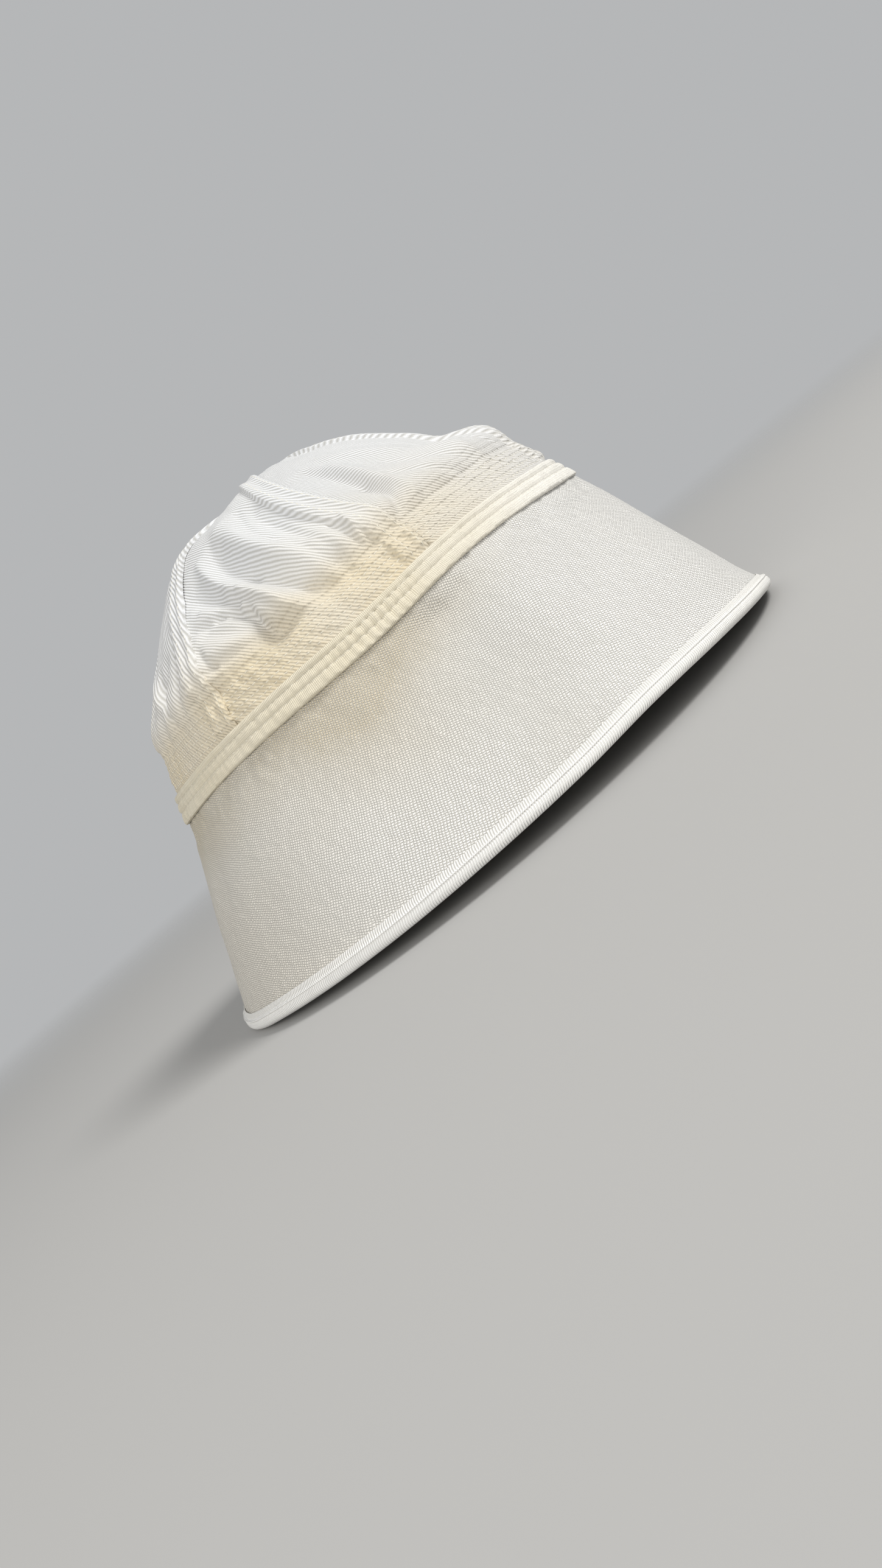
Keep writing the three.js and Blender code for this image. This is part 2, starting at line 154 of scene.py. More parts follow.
# Sharper creases of the worn twill, in the same form as the folds
CREASES = table("start end bow depth width", [
    ((-125, 0.66), (-112, 0.44), -2, -0.34, 0.024),
    ((-113, 0.45), (-101, 0.22), 1, -0.42, 0.022),
    ((-132, 0.64), (-116, 0.42), -1, 0.3, 0.022),
    ((-116, 0.42), (-106, 0.22), 1, 0.36, 0.02),
    ((-107, 0.7), (-101, 0.47), -2, -0.3, 0.022),
    ((-101, 0.48), (-94, 0.25), 1, -0.34, 0.02),
    ((-99, 0.62), (-90, 0.28), 1, 0.26, 0.02),
    ((-138, 0.43), (-126, 0.41), 0, -0.36, 0.018),
    ((-127, 0.41), (-116, 0.31), 2, -0.5, 0.018),
    ((-116, 0.33), (-114.5, 0.22), 0, -0.4, 0.016),
    ((-132, 0.47), (-118, 0.37), 2, 0.34, 0.02),
    ((-118, 0.37), (-111, 0.23), 1, 0.32, 0.018),
    ((-140, 0.56), (-119, 0.39), 1, -0.22, 0.02),
    ((-135, 0.35), (-130, 0.26), 0, -0.34, 0.016),
    ((-131, 0.27), (-141, 0.22), 0, -0.28, 0.014),
    ((-129, 0.24), (-143, 0.25), 0, 0.22, 0.014),
    ((-75, 0.62), (-72.5, 0.4), 1, -0.34, 0.022),
    ((-72.5, 0.4), (-76, 0.22), 1, -0.4, 0.02),
    ((-69, 0.56), (-70, 0.24), 1, 0.32, 0.024),
    ((-66, 0.36), (-57, 0.21), 0, -0.22, 0.016),
    ((-60, 0.42), (-50, 0.22), 0, -0.2, 0.02),
    ((-88.5, 0.36), (-87, 0.23), 0, -0.3, 0.012),
    ((-85, 0.34), (-86.5, 0.22), 0, 0.26, 0.012),
    ((-150, 0.5), (-146, 0.24), 2, -0.4, 0.02),
    ((-162, 0.42), (-152, 0.22), 1, -0.5, 0.02),
    ((-176, 0.46), (-158, 0.3), 2, 0.34, 0.024),
    ((-38, 0.36), (-33, 0.21), 0, -0.24, 0.016),
    ((-12, 0.5), (-6, 0.22), 2, -0.34, 0.022),
    ((12, 0.44), (4, 0.21), -1, -0.3, 0.02),
    ((46, 0.6), (58, 0.24), -3, -0.4, 0.022),
    ((66, 0.48), (66, 0.22), 2, 0.34, 0.02),
    ((84, 0.62), (88, 0.24), 1, -0.36, 0.022),
    ((106, 0.5), (112, 0.22), -2, 0.32, 0.02),
    ((122, 0.66), (128, 0.3), 2, -0.38, 0.022),
    ((146, 0.56), (148, 0.22), -2, -0.36, 0.02),
    ((170, 0.62), (176, 0.24), 1, 0.34, 0.024),
])

# Dents of the brim. angle: degrees round the cap. down: share of the brim's height below
# the crown's foot. depth: in dent depths, inwards below zero. wide: degrees.
# tall: share of the brim's height.
DENTS = table("angle down depth wide tall", [
    (-82, 0.45, -1, 15, 0.5),
    (-118, 0.6, 0.35, 18, 0.4),
    (-48, 0.6, 0.4, 14, 0.4),
    (70, 0.55, -0.6, 16, 0.45),
    (120, 0.5, 0.4, 16, 0.4),
    (172, 0.6, -0.4, 12, 0.4),
])

# Smaller marks of wear on the brim, in the same form as the dents
DIMPLES = table("angle down depth wide tall", [
    (-86, 0.35, -2, 6.5, 1.1),
    (-77, 0.7, -0.6, 7, 0.5),
    (-93, 0.16, -0.3, 3, 0.16),
    (-101, 0.12, -0.35, 3, 0.14),
    (-108, 0.14, 0.25, 3, 0.16),
    (-71, 0.35, 0.9, 6, 0.9),
    (-95, 0.4, 0.4, 7, 0.7),
    (-36, 0.3, -0.25, 6, 0.4),
    (28, 0.4, -0.4, 6, 0.4),
    (96, 0.3, -0.4, 6, 0.5),
    (148, 0.6, 0.35, 7, 0.4),
    (-160, 0.35, -0.35, 5, 0.4),
])

# The tape's cross-section. across: share of the tape's width above the crown's foot.
# ridge: share of the ridges' height.
TAPE_SECTION = table("across ridge", [
    (0, 0.5),
    (0.06, 0.95),
    (0.2, 1),
    (0.34, 0.75),
    (0.4, 0.1),
    (0.46, 0.75),
    (0.57, 1),
    (0.69, 0.75),
    (0.74, 0.1),
    (0.79, 0.75),
    (0.88, 1),
    (0.96, 0.7),
    (1, 0),
])

# Random relief of the cloths. first, second: the length of a wave along two ways of the
# cloth, in metres, or down the brim as a share of its height. seed: which random pattern.
WRINKLES = table("first second height seed", [
    (16 * MM, 34 * MM, 0.55 * MM, 3),
    (7 * MM, 17 * MM, 0.22 * MM, 5),
])
BAND_CRINKLES = table("first second height seed", [
    (2.2 * MM, 4.8 * MM, 0.45 * MM, 11),
    (4.5 * MM, 9 * MM, 0.375 * MM, 13),
])
TAPE_CRINKLES = table("first second height seed", [
    (3 * MM, 2.4 * MM, 0.24 * MM, 23),
    (21 * MM, 30 * MM, 0.2 * MM, 25),
])
BRIM_SLACK = table("first second height seed", [
    (45 * MM, 1 / 2.3, 0.45 * MM, 31),
    (16 * MM, 1 / 6, 0.12 * MM, 33),
])
BRIM_PUCKERS = [{"first": 4.2 * MM, "second": 1 / 14, "height": 0.55 * MM, "seed": 35}]
BRIM_GATHERS = [{"first": 4.5 * MM, "second": 1 / 16, "height": 0.2 * MM, "seed": 37}]

# Places on the crown, as shares of the way from its foot to its top
TAPE_EDGE_ALONG = 0.085  # just above the tape
CALM_ALONG = 0.13  # below it the cloth has no folds
CREASE_ALONG = 0.205  # the crease at the top of the stitched foot band
PUFF_ALONG = 0.29  # the middle of the loose ring above the band
TIP_ALONG = 0.9965  # where the gores end

CLOTH_SLACK = 0.92  # the cloth's way to the top, next to the slant of a cone as high and wide
FOLD_END = 0.45  # the part of a fold's depth that doesn't fade towards its ends

# Heights of the felled seams' relief
SEAM_RIDGE = 0.28 * MM
SEAM_TROUGH = 0.35 * MM
SEAM_CRUMPLE = 0.26 * MM

# The heights of the ridges between the foot band's rows of stitches, and their distance
BAND_RIDGE = 0.12 * MM
BAND_PITCH = 2.5 * MM

# How many steps round the cap each ring has, and the paths of the tape's stitches
TAPE_TURNS = 1100
BRIM_TURNS = 900
BINDING_TURNS = 900
TAPE_STITCH_TURNS = 900

# A gore's grid: rows at the middle and the top of the tape, in the band, near the top and at
# the tip, and columns at the edges of its tongue, its open cloth and its lap
GORE_ROWS = [0, 5, 34, 126, 136]
GORE_COLUMNS = [0, 18, 22, 127, 132, 150]

# Rows of stitches: heights above the crown's foot in mm, columns of a gore's grid on its lap
# with their first and last row, and section points of the tape
BAND_ROWS = [12.4, 14.8, 17.2, 19.6, 22]
SEAM_COLUMNS = [137, 147]
SEAM_ROWS = (4, 122)
TAPE_GROOVES = [0.4, 0.74]
TAPE_STITCHES = [10, 19]

# The tape's cross-section has this many points outside, and these of them have one behind
TAPE_POINTS = 27
TAPE_BACK = [26, 20, 13, 7, 0]

# The brim's top is tucked under the tape: shares of the tape's width above the crown's foot
TUCK = [0.5, 0.375, 0.25, 0.125]
TUCK_MAP = [1.04, 1.03, 1.02, 1.01]  # the same places in the cloth's map, in brim heights

# Yellow stains of the brim, each round a point, in metres
STAINS = table("place size strength", [
    ((-0.03, -0.085, 0.07), 0.03, 1.2),
    ((-0.066, -0.07, 0.064), 0.03, 0.25),
])
# Painted shade in the brim's trough near -86 degrees round the cap, each spot round a point, in metres
TROUGH_SHADE = table("place size strength", [
    ((0.006, -0.093, 0.05), 0.022, 0.32),
    ((0.009, -0.107, 0.02), 0.022, 0.32),
])

PUCKER_TURN = 264  # where the tape is most puckered, in degrees round the cap

# The stage
FLOOR_RADIUS = 3
FLOOR_CORNERS = 64
WORLD_COLOUR = (0.97, 0.985, 1.0, 1)
WORLD_STRENGTH = 0.48
CAMERA = {
    "place": (-0.0831, -0.4423, 0.0682), "yaw": 8.5, "pitch": 5.84, "roll": -39.91,
    "lens": 25.854, "sensor": 36, "nearest": 0.01,
}
LIGHTS = [
    {"name": "key", "place": (1.55, -0.85, 1.85), "target": (0, 0, 0.07), "size": 0.9,
     "power": 49, "colour": (1, 0.99, 0.97)},
    {"name": "fill", "place": (-0.95, -1.85, 0.65), "target": (0, 0, 0.07), "size": 1.6,
     "power": 28, "colour": (1, 0.98, 0.94)},
]


def length_property(name, description, default):
    return bpy.props.FloatProperty(
        name=name, description=description, default=default, unit="LENGTH")


def colour_property(name, description, default):
    return bpy.props.FloatVectorProperty(
        name=name, description=description, default=default, size=4, subtype="COLOR", min=0, max=1)


class CapSizes(bpy.types.PropertyGroup):
    """The cap's driving dimensions, in metres."""

    rim_half_length: length_property(
        "Rim half length", "Middle of the cap to the brim's edge in front", 134 * MM)
    rim_half_width: length_property(
        "Rim half width", "Middle of the cap to the brim's edge at the side", 115.9 * MM)
    crown_half_length: length_property(
        "Crown half length", "Half the crown's foot, front to back", 101.5 * MM)
    crown_half_width: length_property("Crown half width", "Half the crown's foot, side to side", 82 * MM)
    crown_forward: length_property("Crown forward", "How far the crown's foot sits forward of the brim", 0)
    crown_lean: bpy.props.FloatProperty(
        name="Crown lean", description="The angle by which the crown leans back",
        default=math.radians(2.6), subtype="ANGLE")
    brim_height: length_property("Brim height", "From the floor to the middle of the crown's foot", 80 * MM)
    crown_height: length_property("Crown height", "From the crown's foot to the top", 76.5 * MM)
    rim_arch: length_property("Rim arch", "How far the brim's edge stands off the floor at most", 9.6 * MM)
    crown_cloth: length_property("Crown cloth", "Thickness of the crown's twill", 1.2 * MM)
    brim_cloth: length_property("Brim cloth", "Thickness of the brim's two plies", 2 * MM)
    tape_width: length_property("Tape width", "Width of the tape round the crown's foot", 10.2 * MM)
    tape_cloth: length_property("Tape cloth", "Thickness of the tape in its grooves", 0.7 * MM)
    tape_ridge: length_property("Tape ridge", "How far the tape's ridges stand out", 0.75 * MM)
    binding_width: length_property("Binding width", "Height of the rolled binding on the brim", 6.4 * MM)
    binding_cloth: length_property("Binding cloth", "Thickness of the binding", 1 * MM)
    seam_width: length_property("Seam width", "The lap of one gore over the next", 8.5 * MM)
    seam_ramp: length_property("Seam ramp", "Where the cloth comes up to the lap", 2.5 * MM)
    puff_height: length_property("Puff height", "The ring of loose cloth above the foot band", 1.5 * MM)
    fold_depth: length_property("Fold depth", "The deepest fold of the crown", 4.6 * MM)
    dent_depth: length_property("Dent depth", "A dent in the brim of depth 1 in its table", 2.2 * MM)
    clearance: length_property("Clearance", "Between any two pieces", 0.35 * MM)
    stitch_length: length_property("Stitch length", "One machine stitch, with its gap", 2.5 * MM)
    thread: length_property("Thread", "Thickness of the sewing thread", 0.3 * MM)
    rib_pitch: length_property("Rib pitch", "From one rib of the twill to the next", 1.15 * MM)
    weave_pitch: length_property("Weave pitch", "From one float of the brim's weave to the next", 0.85 * MM)


class CapColours(bpy.types.PropertyGroup):
    """The cap's cloth colours."""

    twill: colour_property("Twill", "White of the crown", (0.73, 0.74, 0.76, 1))
    twill_groove: colour_property("Twill groove", "Between the ribs", (0.40, 0.395, 0.37, 1))
    cream: colour_property("Cream", "Aged cloth round the crown's foot", (0.66, 0.57, 0.405, 1))
    tape: colour_property("Tape", "Cream cotton tape", (0.72, 0.64, 0.46, 1))
    brim: colour_property("Brim", "Off-white of the brim's floats", (0.98, 0.975, 0.96, 1))
    brim_gap: colour_property("Brim gap", "Between the brim's floats", (0.62, 0.6, 0.55, 1))
    binding: colour_property("Binding", "White of the rolled edge", (0.94, 0.93, 0.90, 1))
    thread: colour_property("Thread", "Sewing thread", (0.76, 0.725, 0.62, 1))
    floor: colour_property("Floor", "Plain pale floor", (0.43, 0.425, 0.415, 1))


def smooth(t):
    """A ramp from 0 to 1 with level ends: 3 t squared less 2 t cubed."""
    s = np.clip(t, 0, 1)
    return s * s * (3 - 2 * s)


def bell(distance, width):
    """A bump of height 1: e to the minus square of distance over width."""
    return np.exp(-((distance / width) ** 2))


def lerp(a, b, t):
    return a + (b - a) * t


def wander(x, y, seed):
    """Soft random heights from -1 to 1: a sine hash at whole numbers, blended in between."""
    whole_x, whole_y = np.floor(x), np.floor(y)
    part_x, part_y = smooth(x - whole_x), smooth(y - whole_y)

    def corner(step_x, step_y):
        mixed = (whole_x + step_x) * 12.9898 + (whole_y + step_y) * 78.233 + seed * 37.719
        spread = np.sin(mixed) * 4375.8545
        return 2 * (spread - np.floor(spread)) - 1

    near = lerp(corner(0, 0), corner(1, 0), part_x)
    far = lerp(corner(0, 1), corner(1, 1), part_x)
    return lerp(near, far, part_y)


def random_relief(rows, first, second):
    """Random relief: the sum of a table's waves along two ways of the cloth."""
    return sum(
        wander(first / row["first"], second / row["second"], row["seed"]) * row["height"]
        for row in rows)


def through(rows, key, column, at):
    """A smooth curve through one column of a table: cubic pieces with slopes from neighbours."""
    keys = np.array([row[key] for row in rows], float)
    values = np.array([row[column] for row in rows], float)
    last = len(keys) - 1
    before = np.maximum(np.arange(last + 1) - 1, 0)
    after = np.minimum(np.arange(last + 1) + 1, last)
    slopes = (values[after] - values[before]) / (keys[after] - keys[before])
    i = np.clip(np.searchsorted(keys, at, side="right") - 1, 0, last - 1)
    span = keys[i + 1] - keys[i]
    t = (at - keys[i]) / span
    return (
        (2 * t**3 - 3 * t**2 + 1) * values[i]
        + (t**3 - 2 * t**2 + t) * span * slopes[i]
        + (3 * t**2 - 2 * t**3) * values[i + 1]
        + (t**3 - t**2) * span * slopes[i + 1]
    )


def section_share(rows, key, at, turn):
    """The share for a direction: front or back by cosine squared, and side for the rest."""
    lengthwise = np.cos(turn) ** 2
    front = through(rows, key, "front", at)
    back = through(rows, key, "back", at)
    side = through(rows, key, "side", at)
    return np.where(np.cos(turn) > 0, front, back) * lengthwise + side * (1 - lengthwise)


def degrees_from(turn, angle):
    """Degrees from one direction to another, the short way round."""
    return (np.degrees(turn) - angle + 180) % 360 - 180


def foot_rise(sizes, turn):
    """How far the foot line rises round the cap: two waves and a few sags."""
    waves = sum(w["rise"] * np.cos(w["turns"] * turn) for w in FOOT_WAVES)
    sags = sum(s["rise"] * bell(degrees_from(turn, s["angle"]), s["wide"]) for s in FOOT_SAGS)
    return sizes.brim_height * (waves + sags)


def rim_rise(sizes, turn):
    """How far the brim's edge stands off the floor, alike on both sides."""
    away = np.abs(degrees_from(turn, 0))
    return sizes.rim_arch * np.maximum(through(RIM_RISES, "turn", "rise", away), 0)


def crown_form(sizes, turn, along):
    """The crown without folds: ellipses whose size and height follow the crown's sections,
    all leaning back."""
    share = section_share(CROWN_SECTIONS, "along", along, turn)
    height = through(CROWN_SECTIONS, "along", "height", along)
    ahead = sizes.crown_half_length * share * np.cos(turn)
    above = sizes.crown_height * height + foot_rise(sizes, turn) * (1 - height) ** 2
    lean = sizes.crown_lean
    return np.stack([
        sizes.crown_forward + ahead * math.cos(lean) - above * math.sin(lean),
        sizes.crown_half_width * share * np.sin(turn),
        sizes.brim_height + ahead * math.sin(lean) + above * math.cos(lean),
    ], -1)


def brim_form(sizes, turn, down):
    """The brim without dents: it runs from the crown's foot out and down to the rim."""
    out = section_share(BRIM_SECTIONS, "down", down, turn)
    foot = crown_form(sizes, turn, np.zeros_like(turn))
    return np.stack([
        lerp(foot[..., 0], sizes.rim_half_length * np.cos(turn), out),
        lerp(foot[..., 1], sizes.rim_half_width * np.sin(turn), out),
        lerp(foot[..., 2], rim_rise(sizes, turn), down),
    ], -1)


def unit(vectors):
    return vectors / np.linalg.norm(vectors, axis=-1, keepdims=True)


def frame_of(form, sizes, turn, share, outward):
    """A form's place, its way up or down and its outward normal, from small steps along it."""
    step = 1e-3
    here = form(sizes, turn, share)
    around = form(sizes, turn + step, share) - form(sizes, turn - step, share)
    rise = unit(form(sizes, turn, share + step) - form(sizes, turn, share - step))
    normal = unit(np.cross(around, rise)) * outward
    return here, rise, normal


def crown_climb(sizes):
    """The cloth's way from the crown's foot to its top."""
    return math.hypot(sizes.crown_half_length, sizes.crown_height) * CLOTH_SLACK


def above_tape(along):
    """0 under the tape, and 1 from a little above it."""
    return smooth((along - TAPE_EDGE_ALONG) / 0.03)


def fold_relief(sizes, fold, turn, along):
    """One fold: its depth times a bell of the distance from its curved line."""
    start_turn, start_along = fold["start"]
    end_turn, end_along = fold["end"]
    degrees = np.degrees(turn)
    near = degrees + 360 * np.round(((start_turn + end_turn) / 2 - degrees) / 360)
    share = section_share(CROWN_SECTIONS, "along", along, turn)
    scale = sizes.crown_half_length * math.radians(1) * share
    climb = crown_climb(sizes)
    run_turn = (end_turn - start_turn) * scale
    run_along = (end_along - start_along) * climb
    run = np.hypot(run_turn, run_along)
    at_turn = (near - start_turn) * scale
    at_along = (along - start_along) * climb
    t = (at_turn * run_turn + at_along * run_along) / run**2
    inside = np.clip(t, 0, 1)
    bend = fold["bow"] * scale * 4 * inside * (1 - inside)
    aside = (at_turn * run_along - at_along * run_turn) / run - bend * run_along / run
    beyond = (t - inside) * run
    ends = FOLD_END + (1 - FOLD_END) * np.sin(np.pi * (0.12 + 0.76 * inside))
    width = fold["width"] * sizes.crown_half_length
    return fold["depth"] * sizes.fold_depth * ends * bell(np.hypot(aside, beyond), width)


def crown_relief(sizes, turn, along):
    """How far the crown's cloth stands out from its form: folds, and the puff over the band."""
    calm = smooth((along - CALM_ALONG) / (CREASE_ALONG - CALM_ALONG))
    folds = sum(fold_relief(sizes, fold, turn, along) for fold in FOLDS)
    unevenness = 0.75 + 0.25 * np.sin(5 * turn + 0.8)
    puff = bell(along - PUFF_ALONG, 0.055) - 0.6 * bell(along - CREASE_ALONG, 0.02)
    summit = 1 - smooth((along - 0.86) / 0.12)
    return calm * (folds * summit + puff * sizes.puff_height * unevenness)


def brim_relief(sizes, turn, down):
    """How far the brim stands out from its form: each dent is a bell round and down."""
    total = 0
    for dent in DENTS + DIMPLES:
        beside = bell(degrees_from(turn, dent["angle"]), dent["wide"])
        below = bell(down - dent["down"], dent["tall"] / 2)
        total = total + dent["depth"] * sizes.dent_depth * beside * below
    return total * smooth(down / 0.1) * smooth((1 - down) / 0.25)


def crown_radius(sizes, turn, along):
    """How far the crown's cloth runs for each radian of turn."""
    share = section_share(CROWN_SECTIONS, "along", along, turn)
    sideways = np.hypot(sizes.crown_half_length * np.sin(turn), sizes.crown_half_width * np.cos(turn))
    return sideways * share


def crown_wrinkles(sizes, turn, along):
    """Small random wrinkles of worn twill, and the crinkled stitched band at the foot."""
    across = turn * sizes.crown_half_length
    up = along * crown_climb(sizes)
    slant = (across + up) / math.sqrt(2)
    cross = (across - up) / math.sqrt(2)
    creases = sum(fold_relief(sizes, crease, turn, along) for crease in CREASES)
    loose = smooth((along - CREASE_ALONG) / 0.1) * (1 - 0.6 * smooth((along - 0.55) / 0.3))
    shown = smooth((along - 0.1) / 0.08) * (1 - smooth((along - 0.88) / 0.1))
    band = above_tape(along) * (1 - smooth((along - CREASE_ALONG) / 0.03))
    rows = BAND_RIDGE * np.cos(2 * np.pi * up / BAND_PITCH)
    return (
        random_relief(WRINKLES, slant, cross) * (0.3 + 0.7 * loose) * shown
        + smooth((along - CREASE_ALONG) / 0.04) * creases
        + band * (rows + random_relief(BAND_CRINKLES, slant, cross))
    )


def crown_place(sizes, turn, along, offset):
    """A place on the crown: its form moved out by the folds, the wrinkles and an offset."""
    here, _, normal = frame_of(crown_form, sizes, turn, along, 1)
    out = offset + crown_relief(sizes, turn, along) + crown_wrinkles(sizes, turn, along)
    return here + normal * out[..., None]


def brim_place(sizes, turn, down, offset):
    """A place on the brim: its form moved out by the dents and an offset."""
    here, _, normal = frame_of(brim_form, sizes, turn, down, -1)
    out = offset + brim_relief(sizes, turn, down)
    return here + normal * np.asarray(out)[..., None]


def rim_place(sizes, turn, offset, height):
    """A place by the brim's edge, on its slope carried on to a height above the floor."""
    here, rise, normal = frame_of(brim_form, sizes, turn, np.ones_like(turn), -1)
    here = here + normal * np.asarray(offset)[..., None]
    slide = (height + rim_rise(sizes, turn) - here[..., 2]) / rise[..., 2]
    return here + rise * slide[..., None]


def along_at(sizes, height):
    """The share of the way up the crown at a height above its foot, near the foot."""
    first = CROWN_SECTIONS[1]
    return height * first["along"] / (first["height"] * sizes.crown_height)


def seam_turn(number, along):
    """A seam's place: from its foot to its top with a smooth lean."""
    seam = SEAMS[number % len(SEAMS)]
    lean = smooth((along - 0.15) / 0.6)
    degrees = seam["foot"] + (seam["top"] - seam["foot"]) * lean
    return np.radians(degrees + 360 * (number // len(SEAMS)))


def half_lap(sizes, turn, along, width):
    """Half a seam's width as an angle, eased to a quarter of a gore close to the top."""
    widest = math.pi / len(SEAMS) / 4
    return widest * np.tanh(width / 2 / (crown_radius(sizes, turn, along) * widest))


def seam_profile(sizes, aside, up, seed):
    """A felled seam: two stitched ridges, a crumpled trough between them and pulls beside."""
    edge = sizes.seam_width / 2
    away = np.abs(aside)
    ridges = SEAM_RIDGE * bell(away - edge * 0.62, 1.4 * MM)
    trough = -SEAM_TROUGH * bell(aside, edge * 0.36)
    crumple = wander(up / (4.2 * MM), aside / (4 * MM), seed + 50) * bell(aside, edge * 0.9)
    pulls = wander(up / (3.8 * MM), aside / (6 * MM), seed + 70) * bell(away - edge * 1.5, 2.6 * MM)
    return ridges + trough + SEAM_CRUMPLE * (crumple + pulls)


def seam_relief(sizes, number, turn, along):
    """The felled seam's relief beside one seam, gone under the tape and at the top."""
    aside = (turn - seam_turn(number, along)) * crown_radius(sizes, turn, along)
    up = along * crown_climb(sizes)
    shown = above_tape(along) * (1 - smooth((along - 0.8) / 0.12))
    return seam_profile(sizes, aside, up, 1 + number % len(SEAMS)) * shown


def gore_stations(sizes, number, along):
    """The turns where a gore's tongue, open cloth and lap begin and end, for each row."""
    start = seam_turn(number, along)
    end = seam_turn(number + 1, along)
    ramp = sizes.seam_width + 2 * sizes.seam_ramp
    edge = 4 * sizes.clearance
    return np.stack([
        start - half_lap(sizes, start, along, sizes.seam_width),
        start + half_lap(sizes, start, along, sizes.seam_width),
        start + half_lap(sizes, start, along, ramp),
        end - half_lap(sizes, end, along, ramp + edge),
        end - half_lap(sizes, end, along, sizes.seam_width + edge),
        end + half_lap(sizes, end, along, sizes.seam_width),
    ])


def gore_grid(sizes, number):
    """Turns, shares of the way up and lap offsets of one gore's grid, column by row."""
    row_knots = [along_at(sizes, sizes.tape_width / 2 + sizes.clearance),
                 along_at(sizes, sizes.tape_width), 0.22, 0.88, TIP_ALONG]
    rows = np.interp(np.arange(GORE_ROWS[-1] + 1), GORE_ROWS, row_knots)
    stations = gore_stations(sizes, number, rows)
    last = len(GORE_COLUMNS) - 1
    columns = np.interp(np.arange(GORE_COLUMNS[-1] + 1), GORE_COLUMNS, np.arange(last + 1))
    left = np.minimum(columns.astype(int), last - 1)
    part = (columns - left)[:, None]
    turn = lerp(stations[left], stations[left + 1], part)
    step = sizes.crown_cloth + sizes.clearance
    rise = step * smooth((rows - along_at(sizes, sizes.tape_width)) / 0.03)
    settled = 1 - 0.65 * smooth((rows - 0.9) / 0.08)
    tongue = (1 - smooth(columns - 1))[:, None] * (rise - step)[None]
    lap = smooth(columns - 3)[:, None] * (rise * settled)[None]
    rounding = 0.5 * MM * bell(columns - last, 0.09)[:, None] * (rise / step)[None]
    along = np.broadcast_to(rows, turn.shape)
    return turn, along, tongue + lap - rounding


def gore_surface(sizes, number, depth):
    """One gore's cloth: the crown with its folds, lifted on the lap and sunk on the tongue."""
    turn, along, offset = gore_grid(sizes, number)
    relief = seam_relief(sizes, number, turn, along) + seam_relief(sizes, number + 1, turn, along)
    places = crown_place(sizes, turn, along, offset + relief - depth)
    middle = (seam_turn(number, 0) + seam_turn(number + 1, 0)) / 2
    flat = np.stack([
        (turn - middle) * crown_radius(sizes, turn, along),
        along * crown_climb(sizes),
    ], -1)
    return places, flat


def mesh_piece(name, points, quads, flat, material, slot):
    """A closed mesh from points and four-cornered faces, with a cloth map in metres."""
    mesh = bpy.data.meshes.new(name)
    mesh.from_pydata(points, [], quads)
    if flat is not None:
        layer = mesh.uv_layers.new(name="cloth")
        layer.data.foreach_set("uv", np.ascontiguousarray(flat, np.float32).ravel())
    mesh.polygons.foreach_set("use_smooth", np.ones(len(quads), bool))
    mesh.set_sharp_from_angle(angle=math.radians(55))
    mesh.materials.append(material)
    piece = bpy.data.objects.new(name, mesh)
    bpy.context.scene.collection.objects.link(piece)
    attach(piece, BODY)
    return piece


def sheet_piece(name, outer, inner, flat, material, slot):
    """A sheet with thickness from two matching grids, joined along its four edges."""
    columns, rows = outer.shape[0] - 1, outer.shape[1] - 1
    index = np.arange((columns + 1) * (rows + 1)).reshape(columns + 1, rows + 1)
    under = index + index.size
    a, b, c, d = index[:-1, :-1], index[1:, :-1], index[1:, 1:], index[:-1, 1:]
    faces = [
        np.stack([a, b, c, d], -1).reshape(-1, 4),
        np.stack([a, d, c, b], -1).reshape(-1, 4) + index.size,
        np.stack([index[:-1, 0], under[:-1, 0], under[1:, 0], index[1:, 0]], -1),
        np.stack([index[1:, -1], under[1:, -1], under[:-1, -1], index[:-1, -1]], -1),
        np.stack([index[0, 1:], under[0, 1:], under[0, :-1], index[0, :-1]], -1),
        np.stack([index[-1, :-1], under[-1, :-1], under[-1, 1:], index[-1, 1:]], -1),
    ]
    quads = np.concatenate(faces)
    points = np.concatenate([outer.reshape(-1, 3), inner.reshape(-1, 3)])
    maps = np.concatenate([flat.reshape(-1, 2), flat.reshape(-1, 2)])
    return mesh_piece(name, points, quads, maps[quads.ravel()], material, slot)


def ring_piece(name, section, flat, material, slot):
    """A closed ring: section is a grid of turns by section points, both closed on themselves.
    flat has one more turn and one more section point than section, so that it doesn't wrap."""
    turns, count = section.shape[:2]
    i = np.arange(turns)[:, None]
    j = np.arange(count)[None]
    corners = [(i, j), (i, j + 1), (i + 1, j + 1), (i + 1, j)]
    quads = np.stack([(m % turns) * count + n % count for m, n in corners], -1).reshape(-1, 4)
    maps = np.stack([flat[m, n] for m, n in corners], -2).reshape(-1, 2)
    return mesh_piece(name, section.reshape(-1, 3), quads, maps, material, slot)


def ring_turns(count):
    """Turns round the cap, starting on its far side, with the first turn repeated at the end."""
    return math.radians(110) + np.linspace(0, 2 * math.pi, count + 1)


def cloth_length(turn, half_length, half_width):
    """How far a flat pattern runs round an ellipse, from steps summed turn by turn."""
    steps = np.hypot(half_length * np.sin(turn), half_width * np.cos(turn))
    spans = (steps[1:] + steps[:-1]) / 2 * np.diff(turn)
    return np.concatenate([[0], np.cumsum(spans)])


